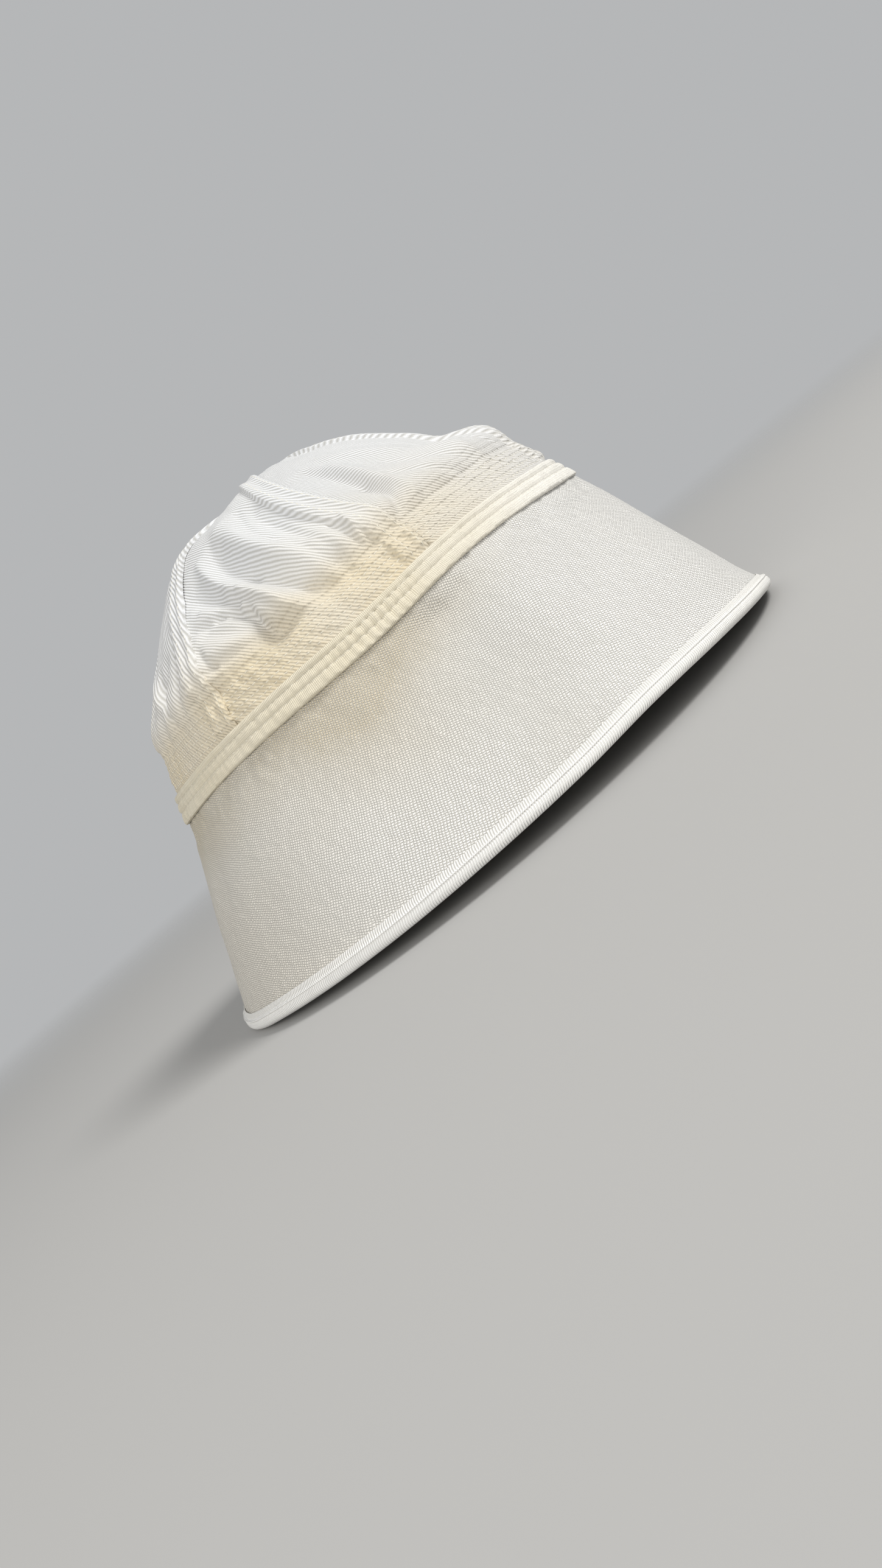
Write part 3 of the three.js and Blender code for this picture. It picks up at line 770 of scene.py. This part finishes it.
def tape_surface(sizes, count):
    """The tape: three ridges across, with puckers along its stitched grooves."""
    turn = ring_turns(count)
    across = np.linspace(0, 1, TAPE_POINTS)
    run = cloth_length(turn, sizes.crown_half_length, sizes.crown_half_width)
    ridge = through(TAPE_SECTION, "across", "ridge", across)
    seat = sizes.clearance + sizes.tape_cloth
    ladder = bell(np.degrees(turn) % 360 - PUCKER_TURN, 9)
    low = smooth(across / 0.1) * (1 - smooth((across - 0.72) / 0.08))
    beat = np.sin(2 * np.pi * run / (3.4 * MM) + 2.2 * wander(run / 0.011, run * 0, 21))
    ladders = beat[:, None] * (0.22 + 0.9 * ladder[:, None]) * low[None] * 0.4 * MM
    grid_run, grid_across = np.meshgrid(run, across * sizes.tape_width, indexing="ij")
    crinkles = random_relief(TAPE_CRINKLES, grid_run, grid_across)
    edges = smooth(np.minimum(across, 1 - across) / 0.06)
    height = seat + ridge[None] * sizes.tape_ridge + (ladders + crinkles) * edges
    height = np.maximum(height, seat * 0.75)
    turns, alongs = np.meshgrid(turn, along_at(sizes, across * sizes.tape_width), indexing="ij")
    here, _, normal = frame_of(crown_form, sizes, turns, alongs, 1)
    outside = here + normal * height[..., None]
    inside = (here + normal * sizes.clearance)[:, TAPE_BACK]
    section = np.concatenate([outside, inside], 1)[:, ::-1]
    widths = np.concatenate([across, [1, 0.77, 0.5, 0.27, 0]])[::-1] * sizes.tape_width
    widths = np.append(widths, widths[0])
    return section[:-1], np.stack(np.meshgrid(run, widths, indexing="ij"), -1)


def brim_slant(sizes):
    """The brim's way from the crown's foot to the rim, in front."""
    return math.hypot(sizes.brim_height, sizes.rim_half_length - sizes.crown_half_length)


def brim_face(sizes, turn, run, depth, downs):
    """One face of the brim's cloth, its slack, the puckers under the tape and the gathers below."""
    tucked = along_at(sizes, sizes.tape_width * np.array(TUCK))
    turns, alongs = np.meshgrid(turn, tucked, indexing="ij")
    here, _, normal = frame_of(crown_form, sizes, turns, alongs, 1)
    top = here - normal * depth
    turns, shares = np.meshgrid(turn, downs, indexing="ij")
    runs = np.broadcast_to(run[:, None], turns.shape)
    slack = random_relief(BRIM_SLACK, runs, shares) * smooth(shares / 0.15) * smooth((1 - shares) / 0.2)
    puckers = random_relief(BRIM_PUCKERS, runs, shares) * bell(shares - 0.05, 0.08)
    gathers = random_relief(BRIM_GATHERS, runs, shares) * bell(shares - 0.9, 0.05)
    middle = brim_place(sizes, turns, shares, slack + puckers + gathers - depth)
    foot = sizes.binding_cloth + sizes.clearance
    low = rim_place(sizes, turn, np.full_like(turn, -depth), foot)
    return np.concatenate([top, middle, low[:, None]], 1)


def brim_surface(sizes, count):
    """The brim: two faces of stiff cloth from under the tape down into the binding."""
    turn = ring_turns(count)
    leg = 1 - sizes.binding_width / sizes.brim_height
    downs = np.append(np.linspace(0, leg, 52), leg + 0.03)
    inner_downs = downs[::5]
    run = cloth_length(turn, sizes.rim_half_length, sizes.rim_half_width)
    outside = brim_face(sizes, turn, run, 0, downs)
    inside = brim_face(sizes, turn, run, sizes.brim_cloth, inner_downs)
    section = np.concatenate([outside, inside[:, ::-1]], 1)
    up = np.concatenate([TUCK_MAP, 1 - downs, [0]])
    inner_up = np.concatenate([TUCK_MAP, 1 - inner_downs, [0]])[::-1]
    heights = np.concatenate([up, inner_up, up[:1]]) * brim_slant(sizes)
    return section[:-1], np.stack(np.meshgrid(run, heights, indexing="ij"), -1)


def binding_surface(sizes, count):
    """The binding: a flat ribbed strip, a thin ridge below it, a roll and a half-round foot."""
    turn = ring_turns(count)
    run = cloth_length(turn, sizes.rim_half_length, sizes.rim_half_width)
    near = sizes.clearance
    far = near + sizes.binding_cloth
    wall = sizes.brim_cloth
    middle = -wall / 2
    half = wall / 2 + far
    width = sizes.binding_width
    foot = np.linspace(0, np.pi, 13)
    # Each row: how far up the slope from the rim, and how far out from the brim's cloth
    outside = [
        (width, near * 0.4), (width + 0.1 * MM, far * 0.35), (width - 0.3 * MM, far * 0.52),
        (width - 1.2 * MM, far * 0.6), (4.2 * MM, far * 0.5), (3.9 * MM, far * 0.65),
        (3.8 * MM, far + 0.5 * MM), (3.5 * MM, far + 0.55 * MM), (3.2 * MM, far + 0.05 * MM),
        (2.8 * MM, far + 0.12 * MM), (2.4 * MM, far + 0.24 * MM),
    ]
    rolled = [
        (half * 0.9 * (1 - math.sin(angle)), middle + (half + 0.1 * MM) * math.cos(angle))
        for angle in foot
    ]
    inside = [
        (width * 0.5, middle - half), (width * 0.8, middle - half), (width, middle - half + 0.2 * MM),
        (width + 0.1 * MM, -wall - near), (half, -wall - near), (sizes.binding_cloth, -wall - near),
        (sizes.binding_cloth, near), (half, near),
    ]
    profile = np.array(outside + rolled + inside)
    here, rise, normal = frame_of(brim_form, sizes, turn, np.ones_like(turn), -1)
    uneven = 0.05 * wander(run / 0.03, run * 0, 41) + 0.04 * wander(run / 0.008, run * 0, 43)
    shown = np.concatenate([np.ones(len(outside) + len(rolled)), np.zeros(len(inside))])
    swell = 1 + uneven[:, None] * shown[None]
    out = middle + (profile[None, :, 1] - middle) * swell
    up = -rise  # the brim's rise runs down its slope
    section = here[:, None] + up[:, None] * profile[None, :, :1] + normal[:, None] * out[..., None]
    settle = rim_rise(sizes, turn) - section[..., 2].min(1)
    section = section + up[:, None] * (settle / up[:, 2])[:, None, None]
    spans = np.linalg.norm(np.diff(profile, axis=0), axis=1)
    heights = np.concatenate([[0], np.cumsum(spans)])
    heights = np.append(heights, heights[-1] + sizes.binding_cloth)
    return section[:-1], np.stack(np.meshgrid(run, heights, indexing="ij"), -1)


def skin(grid):
    """Outward normals of a grid of places that runs round the cap and up the cloth."""
    return unit(np.cross(np.gradient(grid, axis=0), np.gradient(grid, axis=1)))


def stitch_mesh(sizes, paths):
    """Points and faces of thread stitches along paths: short capsules, each sunk at both ends.
    Each path is a pair of arrays, places and outward normals, closely spaced."""
    share = np.array([0, 0.2, 0.5, 0.8, 1])
    thick = np.array([0.3, 1, 1, 1, 0.3]) * sizes.thread / 2
    arch = np.array([-1.8, -0.6, -0.3, -0.6, -1.8]) * sizes.thread / 2
    ring = np.radians([45, 135, 225, 315])
    points, quads, count = [], [], 0
    for places, normals in paths:
        spans = np.linalg.norm(np.diff(places, axis=0), axis=1)
        length = np.concatenate([[0], np.cumsum(spans)])
        starts = np.arange(0, length[-1] - sizes.stitch_length, sizes.stitch_length)
        at = starts[:, None] + share[None] * sizes.stitch_length * 0.82
        place = np.stack([np.interp(at, length, places[:, k]) for k in range(3)], -1)
        normal = unit(np.stack([np.interp(at, length, normals[:, k]) for k in range(3)], -1))
        forward = unit(place[:, -1:] - place[:, :1])
        across = unit(np.cross(normal, np.broadcast_to(forward, normal.shape)))
        centre = place + normal * arch[None, :, None]
        sideways = np.cos(ring)[:, None] * across[:, :, None]
        upwards = np.sin(ring)[:, None] * normal[:, :, None]
        tube = centre[:, :, None] + (sideways + upwards) * thick[:, None, None]
        index = np.arange(tube[..., 0].size).reshape(tube.shape[:3]) + count
        follow = np.roll(index, -1, 2)
        sides = np.stack([index[:, :-1], follow[:, :-1], follow[:, 1:], index[:, 1:]], -1)
        quads += [sides.reshape(-1, 4), index[:, 0, ::-1], index[:, -1]]
        points.append(tube.reshape(-1, 3))
        count += tube[..., 0].size
    return np.concatenate(points), np.concatenate(quads)


def crown_stitches(sizes):
    """Paths on the crown: rows round the foot band, and two rows up each seam."""
    first, last = GORE_COLUMNS[1], GORE_COLUMNS[4]
    low, high = SEAM_ROWS
    paths = []
    for number in range(len(SEAMS)):
        grid, flat = gore_surface(sizes, number, 0)
        normals = skin(grid)
        up = flat[0, :, 1]
        for height in BAND_ROWS:
            row = int(np.argmin(np.abs(up - height * MM)))
            paths.append((grid[first:last, row], normals[first:last, row]))
        for column in SEAM_COLUMNS:
            paths.append((grid[column, low:high], normals[column, low:high]))
    return paths


def ring_path(section, point):
    """A closed path round a ring at one of its section points, with outward normals."""
    closed = np.concatenate([section, section[:1]])
    return closed[:, point], -skin(closed)[:, point]


def tape_stitches(sizes, count):
    """Paths round the cap in the tape's two grooves."""
    tape = tape_surface(sizes, count)[0]
    last = tape.shape[1] - 1
    return [ring_path(tape, last - row) for row in TAPE_STITCHES]


class Value:
    """A number made by shader nodes, with the usual operators."""

    def __init__(self, tree, socket):
        self.tree = tree
        self.socket = socket

    def math(self, operation, *items):
        node = self.tree.nodes.new("ShaderNodeMath")
        node.operation = operation
        for place, item in zip(node.inputs, items):
            plug(self.tree, place, item)
        return Value(self.tree, node.outputs[0])

    def __add__(self, other):
        return self.math("ADD", self, other)

    __radd__ = __add__

    def __sub__(self, other):
        return self.math("SUBTRACT", self, other)

    def __rsub__(self, other):
        return self.math("SUBTRACT", other, self)

    def __mul__(self, other):
        return self.math("MULTIPLY", self, other)

    __rmul__ = __mul__

    def __truediv__(self, other):
        return self.math("DIVIDE", self, other)

    def __pow__(self, other):
        return self.math("POWER", self, other)

    def wave(self):
        """From 0 to 1 and back once for each whole number."""
        return 0.5 - 0.5 * self.math("COSINE", self * (2 * math.pi))

    def arch(self):
        """The size of the sine: 0 at whole numbers and 1 half-way between."""
        return self.math("ABSOLUTE", self.math("SINE", self * math.pi))

    def floor(self):
        return self.math("FLOOR", self)

    def ramp(self, start, end):
        """A smooth step from 0 at start to 1 at end."""
        node = self.tree.nodes.new("ShaderNodeMapRange")
        node.interpolation_type = "SMOOTHSTEP"
        for name, item in (("Value", self), ("From Min", start), ("From Max", end)):
            plug(self.tree, node.inputs[name], item)
        return Value(self.tree, node.outputs[0])

    def bump(self, centre, width):
        """A bell of height 1 at centre."""
        away = (self - centre) / width
        return self.math("EXPONENT", 0 - away * away)


def plug(tree, place, item):
    """Links a value or a socket to an input, or sets the input to a plain number or colour."""
    if isinstance(item, Value):
        tree.links.new(item.socket, place)
    elif isinstance(item, bpy.types.NodeSocket):
        tree.links.new(item, place)
    else:
        place.default_value = item


class Cloth:
    """A cloth material: its map in metres, noises, colour mixing and the finished shader."""

    def __init__(self, name):
        old = bpy.data.materials.get(name)
        if old:
            bpy.data.materials.remove(old)
        self.material = bpy.data.materials.new(name)
        self.material.use_nodes = True
        self.tree = self.material.node_tree
        self.tree.nodes.clear()
        flat = self.node("ShaderNodeSeparateXYZ", {}, {
            "Vector": self.node("ShaderNodeUVMap", {"uv_map": "cloth"}, {}).outputs[0],
        })
        self.round = Value(self.tree, flat.outputs[0])
        self.up = Value(self.tree, flat.outputs[1])
        self.place = self.node("ShaderNodeTexCoord", {}, {}).outputs["Object"]
        parts = self.node("ShaderNodeSeparateXYZ", {}, {"Vector": self.place})
        self.x = Value(self.tree, parts.outputs[0])

    def node(self, kind, settings, inputs):
        node = self.tree.nodes.new(kind)
        for name, setting in settings.items():
            setattr(node, name, setting)
        for name, item in inputs.items():
            plug(self.tree, node.inputs[name], item)
        return node

    def noise(self, size, detail=2.0):
        """Soft random shades from 0 to 1 with spots of about that size in metres."""
        node = self.node("ShaderNodeTexNoise", {}, {
            "Vector": self.place, "Scale": 1 / size, "Detail": detail,
        })
        return Value(self.tree, node.outputs["Fac"])

    def mix(self, share, a, b):
        node = self.node("ShaderNodeMix", {"data_type": "RGBA"}, {})
        for index, item in ((0, share), (6, a), (7, b)):
            plug(self.tree, node.inputs[index], item)
        return node.outputs[2]

    def spots(self, rows):
        """The sum of a table's soft round spots, each with its place, size and strength."""
        total = 0
        for spot in rows:
            away = self.node("ShaderNodeVectorMath", {"operation": "DISTANCE"}, {
                0: self.place, 1: spot["place"],
            })
            distance = Value(self.tree, away.outputs["Value"])
            total = spot["strength"] * distance.bump(0, spot["size"]) + total
        return total

    def finish(self, colour, height, depth, roughness, sheen):
        bump = self.node("ShaderNodeBump", {}, {"Height": height, "Distance": depth, "Strength": 1.0})
        shader = self.node("ShaderNodeBsdfPrincipled", {}, {
            "Base Color": colour, "Roughness": roughness, "Normal": bump.outputs[0],
            "Sheen Weight": sheen, "Sheen Roughness": 0.5, "Specular IOR Level": 0.25,
        })
        output = self.node("ShaderNodeOutputMaterial", {}, {"Surface": shader.outputs[0]})
        output.is_active_output = True
        return self.material


def twill_material(sizes, colours):
    """Twill: slanting ribs with the warp's beads on them, creamy round the foot."""
    cloth = Cloth("crown twill")
    sway = (cloth.noise(0.012) - 0.5) * 0.9
    root = math.sqrt(2)
    rib = (cloth.round + cloth.up) / (root * sizes.rib_pitch) + sway
    bead = (cloth.round - cloth.up) / (root * sizes.rib_pitch * 0.62) + 0.5 * rib.floor()
    ridge = rib.wave() ** 0.7
    fuzz = cloth.noise(0.0006, 3.0)
    blotch = cloth.noise(0.03, 3.0)
    band = 1 - cloth.up.ramp(0.02, 0.037)
    foot = 1 - cloth.up.ramp(0.026, 0.066)
    front = cloth.x.ramp(0, 0.085)
    cream = (band * (0.38 + 0.5 * blotch) + foot * (0.08 + 0.35 * blotch)) * (1 - 0.8 * front) + 0.02
    weave = ridge * (0.86 + 0.14 * bead.wave())
    shade = 0.22 + 0.78 * weave + 0.2 * (fuzz - 0.5)
    pale = cloth.mix(cream, tuple(colours.twill), tuple(colours.cream))
    deep = cloth.mix(cream * 0.6, tuple(colours.twill_groove), tuple(colours.cream))
    # The foot band's stitched rows: sunk in the bump, and darkened in dashes along them as painted shade
    row = ((cloth.up - BAND_ROWS[0] * MM) / ((BAND_ROWS[1] - BAND_ROWS[0]) * MM)).wave()
    stitch = (cloth.round / sizes.stitch_length + (cloth.noise(0.01) - 0.5)).wave()
    rows = ((1 - row) ** 3.0) * (0.35 + 0.65 * stitch) * band
    shade = shade - 0.18 * rows
    height = weave + 0.35 * fuzz - 1.2 * rows
    return cloth.finish(cloth.mix(shade, deep, pale), height, 0.29 * MM, 0.92, 0.12)


def tape_material(sizes, colours):
    """Tape: fine ribs across it, with painted shade in its two stitched grooves."""
    cloth = Cloth("tape weave")
    rib = cloth.round / (0.62 * MM) + (cloth.noise(0.006) - 0.5) * 0.8
    line = cloth.up / (0.8 * MM)
    weave = (rib.wave() ** 0.7) * (0.7 + 0.3 * line.wave())
    lower, upper = (groove * sizes.tape_width for groove in TAPE_GROOVES)
    # Painted shade in the tape's two stitched grooves
    groove = 0.5 * cloth.up.bump(lower, 0.35 * MM) + 0.7 * cloth.up.bump(upper, 0.3 * MM)
    worn = cloth.noise(0.02, 3.0)
    shade = 0.42 + 0.58 * weave - groove
    front = cloth.x.ramp(-0.01, 0.09)
    pale = cloth.mix(front * 0.75, tuple(colours.tape), tuple(colours.binding))
    soft = cloth.mix(worn * 0.35, pale, tuple(colours.binding))
    deep = cloth.mix(0.5, pale, tuple(colours.brim_gap))
    return cloth.finish(cloth.mix(shade, deep, soft), weave, 0.28 * MM, 0.9, 0.1)


def brim_material(sizes, colours):
    """Pebbled plain weave: short floats that cross; below the tape cream stands for yellowing and for
    painted shadow of the tape, the cloth is creamier towards the back, and a trough has painted shade.
    """
    cloth = Cloth("brim weave")
    sway = (cloth.noise(0.004, 3.0) - 0.5) * 1.5
    lean = math.radians(-20)
    first = (cloth.round * math.cos(lean) + cloth.up * math.sin(lean)) / sizes.weave_pitch
    second = (cloth.up * math.cos(lean) - cloth.round * math.sin(lean)) / sizes.weave_pitch
    warp = first * 0.72 + sway
    weft = second + sway * 0.8
    parity = (warp.floor() + weft.floor()) * 0.5
    over = (parity - parity.floor()) * 2
    along, across = warp.arch(), weft.arch()
    warp_float = (along ** 0.35) * (across ** 0.9)
    weft_float = (along ** 0.9) * (across ** 0.35)
    float_height = over * warp_float + (1 - over) * weft_float * 0.8
    fuzz = cloth.noise(0.0005, 3.0)
    patchy = cloth.noise(0.022, 4.0)
    shade = 0.06 + 1.05 * float_height + 0.25 * (fuzz - 0.5)
    slant = brim_slant(sizes)
    # Over the last 30 mm below the tape: cream as real yellowing, and darker there as painted shadow cast
    # by the tape
    yellowing_and_tape_shadow = cloth.up.ramp(slant - 0.03, slant - 0.002)
    front = cloth.x.ramp(-0.02, 0.08)
    back = 1 - cloth.x.ramp(-0.12, -0.05)
    stains_and_tape_shadow = cloth.spots(STAINS) * (0.3 + 0.6 * patchy) + yellowing_and_tape_shadow * (0.1 + 0.75 * patchy)
    warm = (stains_and_tape_shadow + 0.06 + 0.45 * back) * (1 - front)
    pale = cloth.mix(warm, tuple(colours.brim), tuple(colours.cream))
    bright = cloth.mix(front * 0.4, pale, tuple(colours.binding))
    # Random mottle, and painted shade in the brim's trough from its spots
    marks = 0.25 * patchy * (1 - 0.7 * back) + cloth.spots(TROUGH_SHADE)
    mottled_and_shaded = cloth.mix(marks, bright, tuple(colours.brim_gap))
    deep = cloth.mix(front * 0.15, tuple(colours.brim_gap), tuple(colours.brim))
    return cloth.finish(cloth.mix(shade, deep, mottled_and_shaded), float_height, 0.56 * MM, 0.95, 0.1)


def binding_material(colours):
    """Ribbed binding: fine ribs across the rolled edge."""
    cloth = Cloth("binding rib")
    rib = (cloth.round + 0.2 * cloth.up) / (0.95 * MM) + (cloth.noise(0.008) - 0.5) * 0.8
    line = cloth.up / (0.6 * MM)
    weave = (rib.wave() ** 0.8) * (0.86 + 0.14 * line.wave())
    worn = cloth.noise(0.018, 3.0)
    strip = 1 - cloth.up.ramp(2.1 * MM, 2.7 * MM)
    # Painted highlight along the thin ridge between the strip and the roll
    ridge = cloth.up.bump(3.4 * MM, 0.4 * MM)
    shade = (0.3 - 0.2 * strip) + (0.7 + 0.1 * strip) * weave + 0.5 * ridge
    front = cloth.x.ramp(-0.02, 0.1)
    pale = cloth.mix((1 - front) * (0.2 + 0.5 * worn), tuple(colours.binding), tuple(colours.brim))
    deep = cloth.mix(0.55 + 0.35 * strip, pale, tuple(colours.brim_gap))
    return cloth.finish(cloth.mix(shade, deep, pale), weave, 0.4 * MM, 0.9, 0.12)


def thread_material(colours):
    """Sewing thread with a fine twist."""
    cloth = Cloth("thread")
    twist = cloth.noise(0.0004, 2.0)
    deep = cloth.mix(0.4, tuple(colours.thread), tuple(colours.brim_gap))
    return cloth.finish(cloth.mix(twist, deep, tuple(colours.thread)), twist, 0.05 * MM, 0.75, 0.05)


def floor_material(colours):
    """A plain pale floor that fades out far from the cap, so that no horizon shows."""
    cloth = Cloth("floor")
    away = cloth.node("ShaderNodeVectorMath", {"operation": "LENGTH"}, {0: cloth.place})
    fade = Value(cloth.tree, away.outputs["Value"]).ramp(0.4, 1.6)
    plain = cloth.node("ShaderNodeBsdfPrincipled", {}, {
        "Base Color": tuple(colours.floor), "Roughness": 0.9, "Specular IOR Level": 0.1,
    })
    clear = cloth.node("ShaderNodeBsdfTransparent", {}, {})
    both = cloth.node("ShaderNodeMixShader", {}, {0: fade, 1: plain.outputs[0], 2: clear.outputs[0]})
    cloth.node("ShaderNodeOutputMaterial", {}, {"Surface": both.outputs[0]})
    return cloth.material


class CapOperator:
    """What the cap's operators share: they read the sizes and colours of the scene."""

    bl_options = {"REGISTER", "UNDO"}

    def given(self, context):
        return context.scene.cap_sizes, context.scene.cap_colours


class CAP_OT_crown(CapOperator, bpy.types.Operator):
    """Makes the crown's six gores with their folds, wrinkles and felled seams"""

    bl_idname = "cap.crown"
    bl_label = "Make the crown"

    def execute(self, context):
        sizes, colours = self.given(context)
        material = twill_material(sizes, colours)
        for number in range(len(SEAMS)):
            outer, flat = gore_surface(sizes, number, 0)
            inner, _ = gore_surface(sizes, number, sizes.crown_cloth)
            name = f"twill_gore_{number + 1}"
            gore = sheet_piece(name, outer, inner, flat, material, "crown_twill")
            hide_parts(f"crown_gore_{number + 1}")
        return {"FINISHED"}


class CAP_OT_tape(CapOperator, bpy.types.Operator):
    """Makes the cream tape with its three ridges and puckered grooves"""

    bl_idname = "cap.tape"
    bl_label = "Make the tape"

    def execute(self, context):
        sizes, colours = self.given(context)
        section, flat = tape_surface(sizes, TAPE_TURNS)
        tape = ring_piece("cotton_tape", section, flat, tape_material(sizes, colours), "seam_tape")
        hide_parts("seam_tape")
        return {"FINISHED"}


class CAP_OT_brim(CapOperator, bpy.types.Operator):
    """Makes the stiff flared brim with its dents, dimples and puckers"""

    bl_idname = "cap.brim"
    bl_label = "Make the brim"

    def execute(self, context):
        sizes, colours = self.given(context)
        section, flat = brim_surface(sizes, BRIM_TURNS)
        brim = ring_piece("crepe_brim", section, flat, brim_material(sizes, colours), "brim_crepe")
        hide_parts("brim")
        return {"FINISHED"}


class CAP_OT_binding(CapOperator, bpy.types.Operator):
    """Makes the rolled binding round the brim's edge"""

    bl_idname = "cap.binding"
    bl_label = "Make the binding"

    def execute(self, context):
        sizes, colours = self.given(context)
        section, flat = binding_surface(sizes, BINDING_TURNS)
        material = binding_material(colours)
        binding = ring_piece("rolled_binding", section, flat, material, "rim_binding")
        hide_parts("rim_binding")
        return {"FINISHED"}


class CAP_OT_stitches(CapOperator, bpy.types.Operator):
    """Makes the sewing thread of the seams, the foot band and the tape"""

    bl_idname = "cap.stitches"
    bl_label = "Make the stitches"

    def execute(self, context):
        sizes, colours = self.given(context)
        material = thread_material(colours)
        crown = stitch_mesh(sizes, crown_stitches(sizes))
        mesh_piece("crown_stitches", *crown, None, material, "crown_twill")
        edge = stitch_mesh(sizes, tape_stitches(sizes, TAPE_STITCH_TURNS))
        mesh_piece("edge_stitches", *edge, None, material, "seam_tape")
        return {"FINISHED"}


def aim(place, target):
    """A turn that points an object's -Z from place to target."""
    away = np.array(place) - np.array(target)
    forward = away / np.linalg.norm(away)
    right = np.cross((0, 0, 1), forward)
    right = right / np.linalg.norm(right)
    up = np.cross(forward, right)
    return Matrix(np.column_stack([right, up, forward]).tolist())


def area_light(name, place, target, size, power, colour):
    light = bpy.data.lights.new(name, "AREA")
    light.shape = "DISK"
    light.size = size
    light.energy = power
    light.color = colour
    lamp = bpy.data.objects.new(name, light)
    lamp.matrix_world = Matrix.Translation(place) @ aim(place, target).to_4x4()
    bpy.context.scene.collection.objects.link(lamp)


def make_floor(colours):
    """A flat round floor through the lowest point of the cap."""
    turn = np.linspace(0, 2 * np.pi, FLOOR_CORNERS + 1)[:-1]
    points = np.stack([np.cos(turn), np.sin(turn), turn * 0], -1) * FLOOR_RADIUS
    mesh = bpy.data.meshes.new("floor")
    mesh.from_pydata(points.tolist(), [], [list(range(FLOOR_CORNERS))])
    mesh.materials.append(floor_material(colours))
    floor = bpy.data.objects.new("floor", mesh)
    bpy.context.scene.collection.objects.link(floor)


def studio_world():
    world = bpy.data.worlds.new("studio")
    world.use_nodes = True
    background = world.node_tree.nodes["Background"]
    background.inputs["Color"].default_value = WORLD_COLOUR
    background.inputs["Strength"].default_value = WORLD_STRENGTH
    return world


def photo_camera():
    """The camera: turned by yaw, then down by pitch, then rolled about its line of sight."""
    sight = bpy.data.cameras.new("photo camera")
    sight.sensor_width = CAMERA["sensor"]
    sight.clip_start = CAMERA["nearest"]
    sight.lens = CAMERA["lens"]
    camera = bpy.data.objects.new("photo camera", sight)
    yaw, pitch, roll = (math.radians(CAMERA[key]) for key in ("yaw", "pitch", "roll"))
    level = np.array([math.sin(yaw), math.cos(yaw), 0])
    forward = level * math.cos(pitch) - np.array([0, 0, math.sin(pitch)])
    right = np.array([math.cos(yaw), -math.sin(yaw), 0])
    up = np.cross(right, forward)
    rolled_right = right * math.cos(roll) + up * math.sin(roll)
    rolled_up = up * math.cos(roll) - right * math.sin(roll)
    turned = Matrix(np.column_stack([rolled_right, rolled_up, -forward]).tolist())
    camera.matrix_world = Matrix.Translation(CAMERA["place"]) @ turned.to_4x4()
    bpy.context.scene.collection.objects.link(camera)
    return camera


class CAP_OT_stage(CapOperator, bpy.types.Operator):
    """Sets the pale floor, the soft studio light and the camera at the photo's angle"""

    bl_idname = "cap.stage"
    bl_label = "Set the stage"

    def execute(self, context):
        make_floor(context.scene.cap_colours)
        context.scene.world = studio_world()
        for light in LIGHTS:
            area_light(**light)
        context.scene.camera = photo_camera()
        context.scene.view_settings.view_transform = "Standard"
        return {"FINISHED"}


class CAP_PT_panel(bpy.types.Panel):
    """The cap's sizes, colours and the buttons that make it"""

    bl_idname = "CAP_PT_panel"
    bl_label = "Sailor cap"
    bl_space_type = "VIEW_3D"
    bl_region_type = "UI"
    bl_category = "Cap"

    def draw(self, context):
        for group in (context.scene.cap_sizes, context.scene.cap_colours):
            column = self.layout.column(align=True)
            for name in group.__annotations__:
                column.prop(group, name)
        for maker in OPERATORS:
            self.layout.operator(maker.bl_idname)


OPERATORS = (CAP_OT_crown, CAP_OT_tape, CAP_OT_brim, CAP_OT_binding, CAP_OT_stitches, CAP_OT_stage)
CLASSES = (CapSizes, CapColours, *OPERATORS, CAP_PT_panel)


def register():
    for kind in CLASSES:
        bpy.utils.register_class(kind)
    bpy.types.Scene.cap_sizes = bpy.props.PointerProperty(type=CapSizes)
    bpy.types.Scene.cap_colours = bpy.props.PointerProperty(type=CapColours)


def unregister():
    del bpy.types.Scene.cap_colours
    del bpy.types.Scene.cap_sizes
    for kind in reversed(CLASSES):
        bpy.utils.unregister_class(kind)


def main():
    register()
    for maker in (
        bpy.ops.cap.crown, bpy.ops.cap.tape, bpy.ops.cap.brim,
        bpy.ops.cap.binding, bpy.ops.cap.stitches, bpy.ops.cap.stage,
    ):
        if maker() != {"FINISHED"}:
            raise RuntimeError("a piece of the cap could not be made")


if __name__ == "__main__":
    main()
